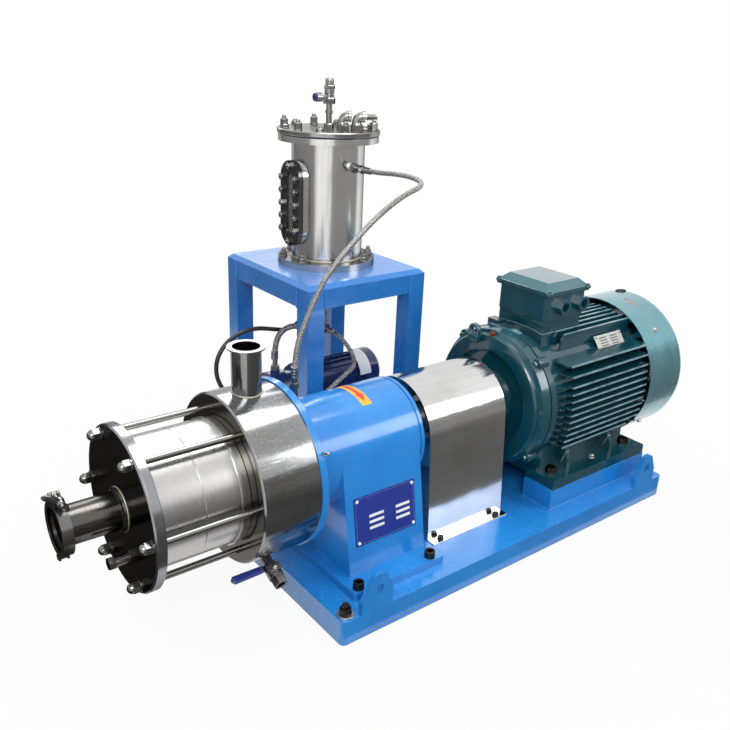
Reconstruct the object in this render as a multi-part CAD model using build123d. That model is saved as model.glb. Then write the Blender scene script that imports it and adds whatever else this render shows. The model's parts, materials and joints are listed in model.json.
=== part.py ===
from build123d import *
import math
import os

# Homogenizer pump on a skid: pump head, bearing pedestal, coupling under its guard, motor,
# and behind them a stand with the seal liquid vessel and its small circulation pump.
# X runs along the shaft from the inlet to the motor, Y towards the stand, Z up.
# The origin is at the middle of the skid's underside. All sizes are in millimetres.

# Skid
skid_length = 1104.0
skid_width = 518.0
skid_height = 58.0
skid_plate = 8.0
skid_corner_radius = 12.0
skid_rib_count = 5
skid_rib_width = 60.0
skid_rib_plate = 6.0
foundation_hole_radius = 9.0
foundation_hole_inset = 22.0
lug_plate = 12.0
lug_length = 80.0
lug_rise = 84.0
lug_hole_radius = 11.0
lug_left_inset = 88.5
lug_right_inset = 87.0
riser_height = 54.0
riser_width = 92.0
riser_wall = 7.0
riser_end_margin = 9.0

# Bearing pedestal
pedestal_setback = 62.5
pedestal_foot_length = 255.5
pedestal_foot_half_width = 215.0
pedestal_foot_plate = 17.0
pedestal_web_inset_front = 27.5
pedestal_web_inset_rear = 15.5
pedestal_web_half_width = 160.0
pedestal_wall = 13.0
housing_radius = 121.0
housing_wall = 15.0
flange_radius = 183.0
flange_plate = 15.0
flange_overhang = 64.5
bearing_cover_plate = 14.0
bearing_cover_overhang = 2.0
foot_screw_inset = 20.0
foot_screw_side_inset = 15.0
nameplate_length = 168.0
nameplate_height = 112.0
plate_thickness = 1.6

# Shaft, bearings and seal
shaft_radius = 25.0
rotor_shaft_radius = 20.0
running_clearance = 0.05
bearing_outer_radius = 55.0
bearing_width = 27.0
front_bearing_setback = 118.0
rear_bearing_margin = 16.0
seal_gland_radius = 74.0
seal_gland_length = 46.0
seal_port_setback = 49.0
seal_collar_radius = 40.0
seal_collar_length = 26.0
seal_port_rise = 21.0
face_gap = 0.3

# Pump head
drum_radius = 180.0
drum_length = 130.0
drum_wall = 8.0
drum_front_wall = 20.0
drum_back_wall = 12.0
outlet_offset = 64.0
outlet_top = 588.0
outlet_tube_radius = 30.15
outlet_bore_radius = 28.15
outlet_ferrule_radius = 38.75
ferrule_plate = 6.35
stage_length = 94.5
stage_radius = 131.0
stage_bore_radius = 108.0
front_plate_thickness = 21.0
front_plate_radius = 166.0
inlet_reach = 113.0
inlet_tube_radius = 38.05
inlet_bore_radius = 36.0
inlet_ferrule_radius = 45.5
weld_ring_radius = 43.0
tie_rod_count = 6
tie_rod_radius = 7.0
tie_rod_circle_radius = 148.2
port_circle_radius = 91.0
port_angle = 231.0
port_reach = 51.0

# Toothed rings that shear the liquid
tooth_ring_count = 2
tooth_slot_count = 12
tooth_slot_width = 6.0
tooth_ring_start_radius = 46.0
tooth_ring_wall = 8.5
tooth_gap = 0.6
tooth_length = 26.0
rotor_plate = 10.0
stator_plate = 12.0
rotor_inset = 22.0
axial_gap = 2.0

# Inlet clamp
clamp_width = 20.0
clamp_ring_radius = 53.0
clamp_lip_radius = 41.5
clamp_split = 1.0
clamp_ear_reach = 12.0
clamp_bolt_radius = 4.0

# Drain valve
drain_offset = 78.0
drain_tilt = 25.0
drain_angle = 239.6
drain_standoff = 7.8
valve_nipple_radius = 10.7
valve_bore_radius = 7.5
valve_body_radius = 16.0
valve_mouth_radius = 9.3
valve_mouth_depth = 15.0
valve_hex_flats = 27.0
valve_length = 64.0
lever_length = 92.0
lever_width = 14.0

# Coupling and guard
hub_radius = 54.0
hub_length = 46.0
spider_width = 18.0
jaw_count = 3
jaw_half_angle = 17.0
jaw_inner_radius = 29.0
jaw_clearance = 0.4
guard_gap = 19.0
guard_motor_gap = 17.0
guard_length = 246.0
guard_radius = 117.0
guard_sheet = 2.5
guard_foot_half_width = 134.0
guard_flange = 22.0

# Motor
motor_centre_height = 200.0
motor_foot_spacing_x = 305.0
motor_foot_spacing_y = 318.0
motor_foot_hole_radius = 9.25
motor_shoulder_to_hole = 133.0
motor_shaft_radius = 27.5
motor_shaft_reach = 110.0
motor_foot_length = 379.0
motor_foot_half_width = 203.0
motor_foot_plate = 26.0
motor_barrel_radius = 160.0
motor_barrel_wall = 11.0
motor_barrel_length = 404.0
motor_barrel_setback = 60.0
motor_shield_inset = 52.0
motor_shield_radius = 168.0
motor_end_ring_radius = 184.0
fin_reach = 186.0
fin_curve = 800.0
fin_thickness = 5.0
fin_pitch = 18.9
cowl_length = 160.0
cowl_radius = 198.0
cowl_sheet = 2.5
cowl_edge_radius = 26.0
fan_setback = 44.0
fan_hub_length = 48.0
fan_hub_radius = 44.0
fan_disc_radius = 60.0
fan_rim_radius = 150.0
fan_disc_plate = 5.0
fan_disc_setback = 16.0
fan_blade_count = 7
fan_blade_height = 36.0
fan_blade_length = 100.0
fan_blade_thickness = 4.0
fan_tip_radius = 152.0
motor_core_radius = 101.0
motor_core_end = 80.0
motor_core_start = 100.0
motor_bearing_width = 33.0
terminal_box_length = 150.0
terminal_box_width = 166.0
terminal_box_top = 592.0
terminal_box_wall = 7.0
terminal_lid_height = 24.0
cable_entry_spacing = 72.0
cable_entry_radius = 12.0

# Stand
stand_length = 376.0
stand_width = 407.0
stand_tube = 50.0
stand_tube_wall = 3.0
stand_top_height = 583.0
stand_cap_rise = 11.0
stand_cap_inset = 12.0
stand_centre_x = -112.0
shelf_height = 175.0
shelf_plate = 4.0

# Vessel
vessel_radius = 96.0
vessel_wall = 3.0
vessel_base_radius = 131.0
vessel_base_plate = 18.0
vessel_height = 335.0
vessel_top_flange = 15.0
vessel_gasket = 3.0
vessel_lid_radius = 134.0
vessel_lid_plate = 13.0
vessel_bolt_circle = 118.0
vessel_bolt_hole = 5.3
lid_bolt_count = 12
base_bolt_count = 8
sight_length = 220.0
sight_width = 88.0
sight_bottom = 55.0
sight_frame_reach = 119.0
sight_slot_width = 34.0
sight_cover = 14.0
knob_stem_radius = 4.0
release_bore_radius = 6.2

# Circulation pump
circulation_rise = 63.0
circulation_offset = 16.5
circulation_overhang = 3.0
circulation_pump_length = 110.0
circulation_pump_radius = 54.0
circulation_flange_radius = 58.0
circulation_port_setback = 42.0
circulation_port_rise = 62.0
circulation_port_radius = 13.0
circulation_port_bore = 7.0
circulation_inlet_bore = 8.0
circulation_shaft_radius = 8.0
circulation_rotor_radius = 34.0
circulation_wheel_radius = 38.0
circulation_motor_length = 215.0
circulation_motor_radius = 52.0
circulation_motor_flange_radius = 62.0
circulation_cowl_length = 52.0

# Hoses
braided_hose_diameter = 12.0
delivery_hose_diameter = 16.0
side_fitting_reach = 51.5
top_fitting_reach = 64.0
back_fitting_reach = 29.0
drain_fitting_reach = 28.0
suction_fitting_reach = 32.0
pump_fitting_reach = 30.0
inlet_fitting_reach = 27.0
tee_drop = 196.0
bolt_clearance = 0.3

# Places that follow from the sizes above
shaft_height = skid_height + riser_height + motor_centre_height
skid_left = -skid_length / 2
skid_right = skid_length / 2
skid_front = -skid_width / 2
skid_back = skid_width / 2
pedestal_left = skid_left + pedestal_setback
pedestal_right = pedestal_left + pedestal_foot_length
flange_front = pedestal_left - flange_overhang
cover_right = pedestal_right + bearing_cover_overhang
cover_left = cover_right - bearing_cover_plate
drum_front = flange_front - drum_length
second_stage_front = drum_front - stage_length
first_stage_front = second_stage_front - stage_length
plate_front = first_stage_front - front_plate_thickness
inlet_face = plate_front - inlet_reach
guard_left = cover_right + guard_gap
guard_right = guard_left + guard_length
motor_shoulder = guard_right + guard_motor_gap
motor_shaft_end = motor_shoulder - motor_shaft_reach
motor_front_hole = motor_shoulder + motor_shoulder_to_hole
motor_rear_hole = motor_front_hole + motor_foot_spacing_x
motor_foot_left = (motor_front_hole + motor_rear_hole) / 2 - motor_foot_length / 2
motor_foot_right = motor_foot_left + motor_foot_length
barrel_left = motor_shoulder + motor_barrel_setback
barrel_right = barrel_left + motor_barrel_length
cowl_left = barrel_right
cowl_right = cowl_left + cowl_length
foot_base = skid_height + riser_height
stand_left = stand_centre_x - stand_length / 2
stand_right = stand_centre_x + stand_length / 2
stand_front = skid_back
stand_back = stand_front + stand_width
stand_centre_y = (stand_front + stand_back) / 2
vessel_bottom = stand_top_height + stand_cap_rise


def save(name, *pieces):
    solids = []
    for piece in pieces:
        solids.extend(piece.solids())
    shape = solids[0] if len(solids) == 1 else Compound(children=solids)
    export_step(shape, f"parts/{name}.step")


def turned(profile, y=0.0, z=shaft_height):
    # revolves an outline of (x, radius) points about a line along X
    face = make_face(Polyline(*[(x, 0, radius) for x, radius in profile], close=True))
    return Pos(0, y, z) * revolve(face, Axis.X, 360)


def upright(profile, x, y):
    # revolves an outline of (radius, z) points about a vertical line
    face = make_face(Polyline(*[(radius, 0, z) for radius, z in profile], close=True))
    return Pos(x, y, 0) * revolve(face, Axis.Z, 360)


def rod_x(x_start, x_end, radius, y=0.0, z=shaft_height):
    middle = (x_start + x_end) / 2
    return Pos(middle, y, z) * Rot(0, 90, 0) * Cylinder(radius, x_end - x_start)


def rod_y(y_start, y_end, radius, x, z):
    middle = (y_start + y_end) / 2
    return Pos(x, middle, z) * Rot(90, 0, 0) * Cylinder(radius, y_end - y_start)


def rod_z(z_start, z_end, radius, x, y):
    middle = (z_start + z_end) / 2
    return Pos(x, y, middle) * Cylinder(radius, z_end - z_start)


def upward(plane, radius, length):
    # a rod standing on a plane
    return plane * Cylinder(radius, length, align=(Align.CENTER, Align.CENTER, Align.MIN))


def block(x_start, x_end, y_start, y_end, z_start, z_end):
    size = (x_end - x_start, y_end - y_start, z_end - z_start)
    return Pos(x_start, y_start, z_start) * Box(*size, align=(Align.MIN, Align.MIN, Align.MIN))


def hexagon(flats, height):
    # a hexagonal prism standing on its base at z = 0
    return extrude(RegularPolygon(flats / math.sqrt(3), 6), height)


def hex_bolt(thread, length, flats, head, washer=0.0, washer_radius=0.0):
    # head up, the shank runs down from z = 0
    shank = Pos(0, 0, -length / 2) * Cylinder(thread / 2, length)
    bolt = shank + Pos(0, 0, washer) * hexagon(flats, head)
    if washer > 0:
        bolt = bolt + Pos(0, 0, washer / 2) * Cylinder(washer_radius, washer)
    return bolt


def socket_screw(thread, length, head_radius, head, key):
    # cylinder head up with a hexagonal key hole, the shank runs down from z = 0
    shank = Pos(0, 0, -length / 2) * Cylinder(thread / 2, length)
    top = Pos(0, 0, head / 2) * Cylinder(head_radius, head)
    return shank + top - Pos(0, 0, head * 0.45) * hexagon(key, head)


def around_x(count, radius, start=0.0):
    # angles and places on a circle about the shaft, counted from +Y towards +Z
    places = []
    for index in range(count):
        angle = math.radians(start + 360 / count * index)
        places.append((angle, radius * math.cos(angle), shaft_height + radius * math.sin(angle)))
    return places


def tangent_point(side, height, radius):
    # where a line from (side, height) touches a circle about the centre, on that side
    reach = math.hypot(side, height)
    angle = math.atan2(height, side) + math.acos(radius / reach)
    return radius * math.cos(angle), radius * math.sin(angle)


def arch_face(foot_half_width, foot_z, radius):
    # an upright arch about the shaft: two straight sides that meet the round top at a tangent
    low = foot_z - shaft_height
    y_touch, z_touch = tangent_point(foot_half_width, low, radius)
    sides = Polyline((-y_touch, z_touch), (-foot_half_width, low), (foot_half_width, low), (y_touch, z_touch))
    top = ThreePointArc((y_touch, z_touch), (0, radius), (-y_touch, z_touch))
    return make_face(sides + top)


def arch(x_start, x_end, foot_half_width, foot_z, radius):
    across = Plane((x_start, 0, shaft_height), x_dir=(0, 1, 0), z_dir=(1, 0, 0))
    return extrude(across * arch_face(foot_half_width, foot_z, radius), x_end - x_start)


# Skid: a folded pan on cross members, with lifting lugs and the two rails that raise the motor


def skid_pan():
    # the deck and its four turned-down sides
    deck = block(skid_left, skid_right, skid_front, skid_back, skid_height - skid_plate, skid_height)
    deck = fillet(deck.edges().filter_by(Axis.Z), skid_corner_radius)
    for x, y in foundation_holes():
        deck = deck - rod_z(skid_height - 2 * skid_plate, skid_height + 1, foundation_hole_radius, x, y)
    for x, y in pedestal_screw_places() + guard_bolt_places():
        deck = deck - rod_z(skid_height - 2 * skid_plate, skid_height + 1, 8 + bolt_clearance, x, y)
    under = skid_height - skid_plate
    outer = block(skid_left, skid_right, skid_front, skid_back, 0, under)
    outer = fillet(outer.edges().filter_by(Axis.Z), skid_corner_radius)
    inside = block(
        skid_left + skid_plate, skid_right - skid_plate,
        skid_front + skid_plate, skid_back - skid_plate, -1, under + 1,
    )
    sides = outer - inside
    for x in stand_bolt_places():
        ends = (skid_back - 2 * skid_plate, skid_back + 1)
        sides = sides - rod_y(*ends, 5 + bolt_clearance, x, skid_height / 2)
    left = skid_left + skid_corner_radius
    right = skid_right - skid_corner_radius
    return [
        deck,
        sides & block(skid_left, left, skid_front, skid_back, 0, under),
        sides & block(left, right, skid_front, skid_front + skid_plate, 0, under),
        sides & block(left, right, skid_back - skid_plate, skid_back, 0, under),
        sides & block(right, skid_right, skid_front, skid_back, 0, under),
    ]


def foundation_holes():
    x = skid_length / 2 - foundation_hole_inset
    y = skid_width / 2 - foundation_hole_inset
    return [(-x, -y), (-x, y), (x, -y), (x, y)]


def skid_ribs():
    ribs = []
    pitch = (skid_length - skid_rib_count * skid_rib_width) / (skid_rib_count - 1)
    for index in range(skid_rib_count):
        x = (index - (skid_rib_count - 1) / 2) * pitch
        side = skid_rib_width / 2
        ends = (skid_front + skid_plate, skid_back - skid_plate)
        rib = block(x - side, x + side, *ends, 0, skid_height - skid_plate)
        rib = rib - block(
            x - side + skid_rib_plate, x + side - skid_rib_plate,
            *ends, skid_rib_plate, skid_height - skid_plate,
        )
        ribs.append(rib)
    return ribs


def lifting_lug(x_left, y_front):
    # a plate with a sloping side, a rounded head and a round hole for a shackle
    top = lug_rise
    outline = Polyline((0, 0), (lug_length, 0), (lug_length, top * 0.45),
                       (lug_length * 0.74, top), (lug_length * 0.4, top), (0, top * 0.3), close=True)
    plate = extrude(Plane.XZ * make_face(outline), -lug_plate)
    corners = plate.edges().filter_by(Axis.Y).group_by(Axis.Z)[-1]
    plate = fillet(corners, lug_length * 0.16)
    hole_x = lug_length * 0.56
    hole_z = lug_rise * 0.56
    plate = plate - rod_y(-1, lug_plate + 1, lug_hole_radius, hole_x, hole_z)
    return Pos(x_left, y_front, skid_height) * plate


def lifting_lugs():
    lugs = []
    for x in (skid_left + lug_left_inset - lug_length / 2, skid_right - lug_right_inset - lug_length / 2):
        lugs.append(lifting_lug(x, skid_front))
        lugs.append(lifting_lug(x, skid_back - lug_plate))
    return lugs


def motor_rails():
    rails = []
    outer = motor_foot_half_width + 2.0
    for side in (-1, 1):
        near = side * (outer - riser_width)
        far = side * outer
        y_low, y_high = sorted((near, far))
        left = motor_foot_left - riser_end_margin
        right = motor_foot_right + 1.0
        rail = block(left, right, y_low, y_high, skid_height, foot_base)
        rail = rail - block(
            left + riser_wall, right - riser_wall, y_low + riser_wall, y_high - riser_wall,
            skid_height + riser_wall, foot_base - riser_wall,
        )
        for x in (motor_front_hole, motor_rear_hole):
            y = side * motor_foot_spacing_y / 2
            rail = rail - rod_z(foot_base - 2 * riser_wall, foot_base + 1, 8 + bolt_clearance, x, y)
        rails.append(rail)
    return rails


# Bearing pedestal: a cast tube with a bolting flange, carried by a hollow tapered foot


def pedestal_screw_places():
    left = pedestal_left + foot_screw_inset
    right = pedestal_right - foot_screw_inset - 14
    y = pedestal_foot_half_width - foot_screw_side_inset
    return [(left, -y), (right, -y), (left, y), (right, y)]


def front_bearing_left():
    return flange_front + front_bearing_setback


def rear_bearing_right():
    return cover_left - rear_bearing_margin


def bearing_pedestal():
    web_left = pedestal_left + pedestal_web_inset_front
    web_right = pedestal_right - pedestal_web_inset_rear
    foot_top = skid_height + pedestal_foot_plate
    outer = turned([
        (flange_front, 0), (flange_front, flange_radius), (flange_front + flange_plate, flange_radius),
        (flange_front + flange_plate, housing_radius), (cover_left, housing_radius), (cover_left, 0),
    ])
    web = arch(web_left, web_right, pedestal_web_half_width, foot_top, housing_radius)
    slope = (pedestal_web_half_width - housing_radius) / (shaft_height - foot_top)
    hollow = arch(
        web_left + pedestal_wall, web_right - pedestal_wall,
        pedestal_web_half_width - pedestal_wall * (1 + slope), foot_top - 1, housing_radius - pedestal_wall,
    )
    foot = block(pedestal_left, pedestal_right, -pedestal_foot_half_width, pedestal_foot_half_width,
                 skid_height, foot_top)
    foot = fillet(foot.edges().filter_by(Axis.Z), 10)
    shell = outer + (web - hollow) + foot
    for x, y in pedestal_screw_places():
        shell = shell - rod_z(skid_height - 1, foot_top + 1, 8 + bolt_clearance, x, y)
    return fill_housing(shell)


def fill_housing(shell):
    # the bores inside the tube: seal chamber, bearing seats and the oil space between them
    seat_front = front_bearing_left()
    seat_rear = rear_bearing_right()
    inner = housing_radius - housing_wall
    seat = bearing_outer_radius
    lip = seat - 6
    bore = turned([
        (flange_front - 1, 0), (flange_front - 1, seal_gland_radius),
        (flange_front + flange_plate, seal_gland_radius), (flange_front + flange_plate, inner),
        (seat_front - 14, inner), (seat_front - 14, lip), (seat_front, lip),
        (seat_front, seat), (seat_front + 2 * bearing_width, seat),
        (seat_front + 2 * bearing_width, inner), (seat_rear - bearing_width - 12, inner),
        (seat_rear - bearing_width - 12, lip), (seat_rear - bearing_width, lip),
        (seat_rear - bearing_width, seat), (cover_left + 1, seat), (cover_left + 1, 0),
    ])
    housing = shell - bore
    for port in seal_ports():
        housing = housing - port
    return housing


def seal_port_x():
    return flange_front + seal_port_setback


def seal_ports():
    # threaded holes into the seal chamber, one on top and one at the back
    x = seal_port_x()
    top = rod_z(shaft_height + 90, shaft_height + housing_radius + 5, valve_bore_radius, x, 0)
    back = rod_y(90, housing_radius + 5, valve_bore_radius, x, shaft_height + seal_port_rise)
    return [top, back]


def bearing_cover():
    return turned([
        (cover_left - 8, shaft_radius + 1), (cover_left - 8, bearing_outer_radius - 0.2),
        (cover_left, bearing_outer_radius - 0.2), (cover_left, housing_radius - 3),
        (cover_left + 3, housing_radius - 3), (cover_left + 3, housing_radius),
        (cover_right - 2, housing_radius), (cover_right, housing_radius - 2),
        (cover_right, shaft_radius + 1),
    ])


def pedestal_screws():
    screw = socket_screw(16, 34, 12, 16, 14)
    foot_top = skid_height + pedestal_foot_plate
    return [Pos(x, y, foot_top) * screw for x, y in pedestal_screw_places()]


def pump_bearings():
    seat_front = front_bearing_left()
    seat_rear = rear_bearing_right()
    starts = (seat_front, seat_front + bearing_width, seat_rear - bearing_width)
    rings = []
    for start in starts:
        rings.append(turned([
            (start, shaft_radius), (start, bearing_outer_radius),
            (start + bearing_width, bearing_outer_radius), (start + bearing_width, shaft_radius),
        ]))
    return rings


def pump_shaft():
    journal = shaft_radius - running_clearance
    nose = rotor_shaft_radius - running_clearance
    nose_start = first_stage_front + rotor_inset - 14
    step = drum_front + 6
    hub_end = cover_right + 120
    return turned([
        (nose_start, 0), (nose_start, nose - 6), (nose_start + 6, nose), (step, nose),
        (step, journal), (hub_end - 2, journal), (hub_end, journal - 2), (hub_end, 0),
    ])


def seal_stationary():
    start = drum_front + drum_length - drum_back_wall + 1
    end = start + seal_gland_length
    return turned([
        (start, shaft_radius + 2), (start, seal_gland_radius - 0.1),
        (flange_front + 6, seal_gland_radius - 0.1),
        (flange_front + 6, seal_gland_radius - 16), (end, seal_gland_radius - 16), (end, shaft_radius + 2),
    ])


def seal_rotating():
    start = drum_front + drum_length - drum_back_wall + 1 + seal_gland_length + face_gap
    end = start + seal_collar_length
    return turned([
        (start, shaft_radius), (start, seal_collar_radius - 6), (start + 8, seal_collar_radius - 6),
        (start + 8, seal_collar_radius), (end, seal_collar_radius), (end, shaft_radius),
    ])


# Pump head: drum with the outlet, two stage casings, front plate with the inlet, tie rods


def pump_casing():
    back = flange_front
    front = drum_front
    drum = turned([
        (front, stage_bore_radius), (front, drum_radius - 4), (front + 4, drum_radius),
        (back, drum_radius), (back, seal_gland_radius), (back - drum_back_wall, seal_gland_radius),
        (back - drum_back_wall, drum_radius - drum_wall),
        (front + drum_front_wall, drum_radius - drum_wall), (front + drum_front_wall, stage_bore_radius),
    ])
    x = flange_front - outlet_offset
    top = outlet_top
    neck = upright([
        (outlet_bore_radius, shaft_height + drum_radius - 22), (outlet_bore_radius, top),
        (outlet_ferrule_radius, top), (outlet_ferrule_radius, top - ferrule_plate / 2),
        (outlet_tube_radius, top - ferrule_plate), (outlet_tube_radius, shaft_height + drum_radius - 22),
    ], x, 0)
    cavity = turned([
        (front + drum_front_wall, 0), (front + drum_front_wall, drum_radius - drum_wall),
        (back - drum_back_wall, drum_radius - drum_wall), (back - drum_back_wall, 0),
    ])
    throat = rod_z(shaft_height + drum_radius - 40, top + 1, outlet_bore_radius, x, 0)
    drum = drum + (neck - cavity) - throat
    for _, y, z in around_x(tie_rod_count, tie_rod_circle_radius):
        drum = drum - rod_x(front - 1, front + drum_front_wall - 3, tie_rod_radius, y, z)
    along = drain_direction()
    start = drain_base()
    hole = Plane(start - along * 40, z_dir=along) * Cylinder(valve_nipple_radius, 80)
    return drum - (hole & turned([
        (front, 0), (front, drum_radius + 60), (back, drum_radius + 60), (back, 0)
    ]))


def stage_casing(start, collar):
    end = start + stage_length
    profile = [(start, stage_bore_radius), (start, stage_radius - 1), (start + 1, stage_radius)]
    if collar:
        profile += [(end - 20, stage_radius), (end - 20, stage_radius + 3),
                    (end - 14, stage_radius + 3), (end - 14, stage_radius)]
    profile += [(end - 1, stage_radius), (end, stage_radius - 1), (end, stage_bore_radius)]
    return turned(profile)


def front_plate():
    plate = turned([
        (plate_front, inlet_bore_radius), (plate_front, weld_ring_radius),
        (plate_front, front_plate_radius - 3), (plate_front + 3, front_plate_radius),
        (first_stage_front - 1, front_plate_radius), (first_stage_front, front_plate_radius - 1),
        (first_stage_front, stage_bore_radius - 0.2), (first_stage_front + 5, stage_bore_radius - 0.2),
        (first_stage_front + 5, inlet_bore_radius),
    ])
    tube = turned([
        (inlet_face, inlet_bore_radius), (inlet_face, inlet_ferrule_radius),
        (inlet_face + ferrule_plate / 2, inlet_ferrule_radius),
        (inlet_face + ferrule_plate, inlet_ferrule_radius - 5),
        (inlet_face + ferrule_plate + 1, inlet_tube_radius),
        (plate_front - 9, inlet_tube_radius), (plate_front - 6, weld_ring_radius),
        (plate_front + 1, weld_ring_radius + 1), (plate_front + 1, inlet_bore_radius),
    ])
    plate = plate + tube
    for _, y, z in around_x(tie_rod_count, tie_rod_circle_radius):
        plate = plate - rod_x(plate_front - 1, first_stage_front + 1, tie_rod_radius + bolt_clearance, y, z)
    y, z = port_place()
    return plate - rod_x(plate_front - 1, first_stage_front + 6, valve_bore_radius, y, z)


def port_place():
    angle = math.radians(port_angle)
    return port_circle_radius * math.cos(angle), shaft_height + port_circle_radius * math.sin(angle)


def plate_port():
    # a hexagonal boss with a threaded nipple and its plug
    y, z = port_place()
    boss = Pos(plate_front, y, z) * Rot(0, -90, 0) * hexagon(valve_hex_flats, 12)
    nipple = rod_x(plate_front - port_reach + 12, plate_front - 12, valve_nipple_radius, y, z)
    cap = Pos(plate_front - port_reach + 12, y, z) * Rot(0, -90, 0) * hexagon(valve_hex_flats - 5, 12)
    return boss + nipple + cap


def tie_rods():
    pieces = []
    nut_left = plate_front - 15.5
    for _, y, z in around_x(tie_rod_count, tie_rod_circle_radius):
        rod = rod_x(nut_left + 4, drum_front + drum_front_wall - 3, tie_rod_radius - 0.02, y, z)
        washer = rod_x(plate_front - 2.5, plate_front, 14, y, z)
        nut = Pos(plate_front - 2.5, y, z) * Rot(0, -90, 0) * hexagon(22, 13)
        dome = Pos(nut_left, y, z) * Sphere(10.5)
        dome = dome & rod_x(nut_left - 12, nut_left, 12, y, z)
        pieces.append(rod + washer + nut + dome)
    return pieces


def ring_radii(first):
    # inner and outer radius of each toothed ring; rotor and stator rings alternate
    radii = []
    start = tooth_ring_start_radius
    for index in range(2 * tooth_ring_count):
        if index % 2 == first:
            radii.append((start, start + tooth_ring_wall))
        start += tooth_ring_wall + tooth_gap
    return radii


def toothed_ring(x_start, x_end, inner, outer, turn):
    ring = turned([(x_start, inner), (x_start, outer), (x_end, outer), (x_end, inner)])
    slots = []
    for angle, _, _ in around_x(tooth_slot_count, outer, turn):
        slot = Box(x_end - x_start + 2, outer - inner + 6, tooth_slot_width)
        middle = (inner + outer) / 2
        slots.append(Pos((x_start + x_end) / 2, 0, shaft_height) * Rot(math.degrees(angle), 0, 0)
                     * Pos(0, middle, 0) * slot)
    return ring - slots


def rotor(start):
    # a disc keyed to the shaft, its toothed rings facing the motor
    plate_start = start + rotor_inset
    plate_end = plate_start + rotor_plate
    outer = ring_radii(0)[-1][1]
    wheel = turned([
        (plate_start - 8, rotor_shaft_radius), (plate_start - 8, rotor_shaft_radius + 9),
        (plate_start, rotor_shaft_radius + 14), (plate_start, outer), (plate_end, outer),
        (plate_end, rotor_shaft_radius + 9), (plate_end + 16, rotor_shaft_radius + 9),
        (plate_end + 16, rotor_shaft_radius),
    ])
    for inner, outer in ring_radii(0):
        wheel = wheel + toothed_ring(plate_end - 1, plate_end + tooth_length, inner, outer, 0)
    return wheel


def stator(start):
    # a disc held in the casing, its toothed rings standing between those of the rotor
    teeth_start = start + rotor_inset + rotor_plate + axial_gap
    plate_start = start + rotor_inset + rotor_plate + tooth_length + axial_gap
    plate_end = plate_start + stator_plate
    disc = turned([
        (plate_start, rotor_shaft_radius + 4), (plate_start, stage_bore_radius - 0.1),
        (plate_end, stage_bore_radius - 0.1), (plate_end, rotor_shaft_radius + 4),
    ])
    for inner, outer in ring_radii(1):
        disc = disc + toothed_ring(teeth_start, plate_start + 1, inner, outer, 180 / tooth_slot_count)
    for _, y, z in around_x(8, stage_bore_radius - 12):
        disc = disc - rod_x(plate_start - 1, plate_end + 1, 7, y, z)
    return disc


# Inlet clamp: two halves on a hinge pin, closed by a swing bolt with a wing nut


def clamp_half(side):
    ring = turned([
        (inlet_face - clamp_width / 2, clamp_lip_radius), (inlet_face - clamp_width / 2, clamp_ring_radius),
        (inlet_face + clamp_width / 2, clamp_ring_radius), (inlet_face + clamp_width / 2, clamp_lip_radius),
        (inlet_face + ferrule_plate + 1.5, clamp_lip_radius),
        (inlet_face + ferrule_plate / 2 + 0.5, inlet_ferrule_radius + 0.5),
        (inlet_face - ferrule_plate / 2 - 0.5, inlet_ferrule_radius + 0.5),
        (inlet_face - ferrule_plate - 1.5, clamp_lip_radius),
    ])
    reach = clamp_ring_radius + clamp_ear_reach
    near = side * clamp_split / 2
    far = side * (clamp_ring_radius + 20)
    low, high = sorted((near, far))
    keep = block(inlet_face - clamp_width, inlet_face + clamp_width, low, high,
                 shaft_height - reach - 20, shaft_height + reach + 20)
    return ring & keep


def clamp_top():
    return shaft_height + clamp_ring_radius + clamp_ear_reach - 3.0


def clamp_low():
    return shaft_height - clamp_ring_radius - 7.0


def clamp_back_half():
    # carries the hinge pin below and the fork of the swing bolt above
    half = clamp_half(1)
    x_low = inlet_face - clamp_width / 2
    x_high = inlet_face + clamp_width / 2
    top = clamp_top()
    fork = block(x_low, x_high, 3, 19, shaft_height + clamp_ring_radius - 5, top)
    fork = fork + rod_x(x_low, x_high, 6, 13, top)
    slot_side = clamp_bolt_radius + 1.0
    fork = fork - block(inlet_face - slot_side, inlet_face + slot_side, 0, 30,
                        shaft_height + clamp_ring_radius - 1, top + 10)
    pivot = rod_x(x_low, x_high, 2.5, 13, top)
    low = clamp_low()
    knuckle = block(inlet_face - 5, inlet_face + 5, 0.5, 9, low - 4, shaft_height - clamp_ring_radius + 5)
    knuckle = knuckle + rod_x(inlet_face - 5, inlet_face + 5, 6, 0, low)
    knuckle = knuckle - clamp_space()
    pin = rod_x(x_low, x_high, 2.5, 0, low)
    return half + fork + knuckle + pivot + pin


def clamp_space():
    return rod_x(inlet_face - clamp_width, inlet_face + clamp_width, clamp_lip_radius + 6)


def clamp_front_half():
    # carries the slotted ear for the swing bolt above and the hinge fork below
    half = clamp_half(-1)
    x_low = inlet_face - clamp_width / 2
    x_high = inlet_face + clamp_width / 2
    top = clamp_top()
    slot_side = clamp_bolt_radius + 1.0
    ear = block(x_low, x_high, -13, -1, shaft_height + clamp_ring_radius - 5, top + 1)
    ear = ear - block(inlet_face - slot_side, inlet_face + slot_side, -20, 0,
                      shaft_height + clamp_ring_radius - 1, top + 10)
    low = clamp_low()
    fork = block(x_low, x_high, -9, -0.5, low - 4, shaft_height - clamp_ring_radius + 5)
    fork = fork + rod_x(x_low, x_high, 6, 0, low)
    fork = fork - block(inlet_face - 5.3, inlet_face + 5.3, -20, 20, low - 10,
                        shaft_height - clamp_ring_radius + 0.5)
    fork = fork - rod_x(x_low - 1, x_high + 1, 2.5 + running_clearance, 0, low)
    fork = fork - clamp_space()
    return half + ear + fork


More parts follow.
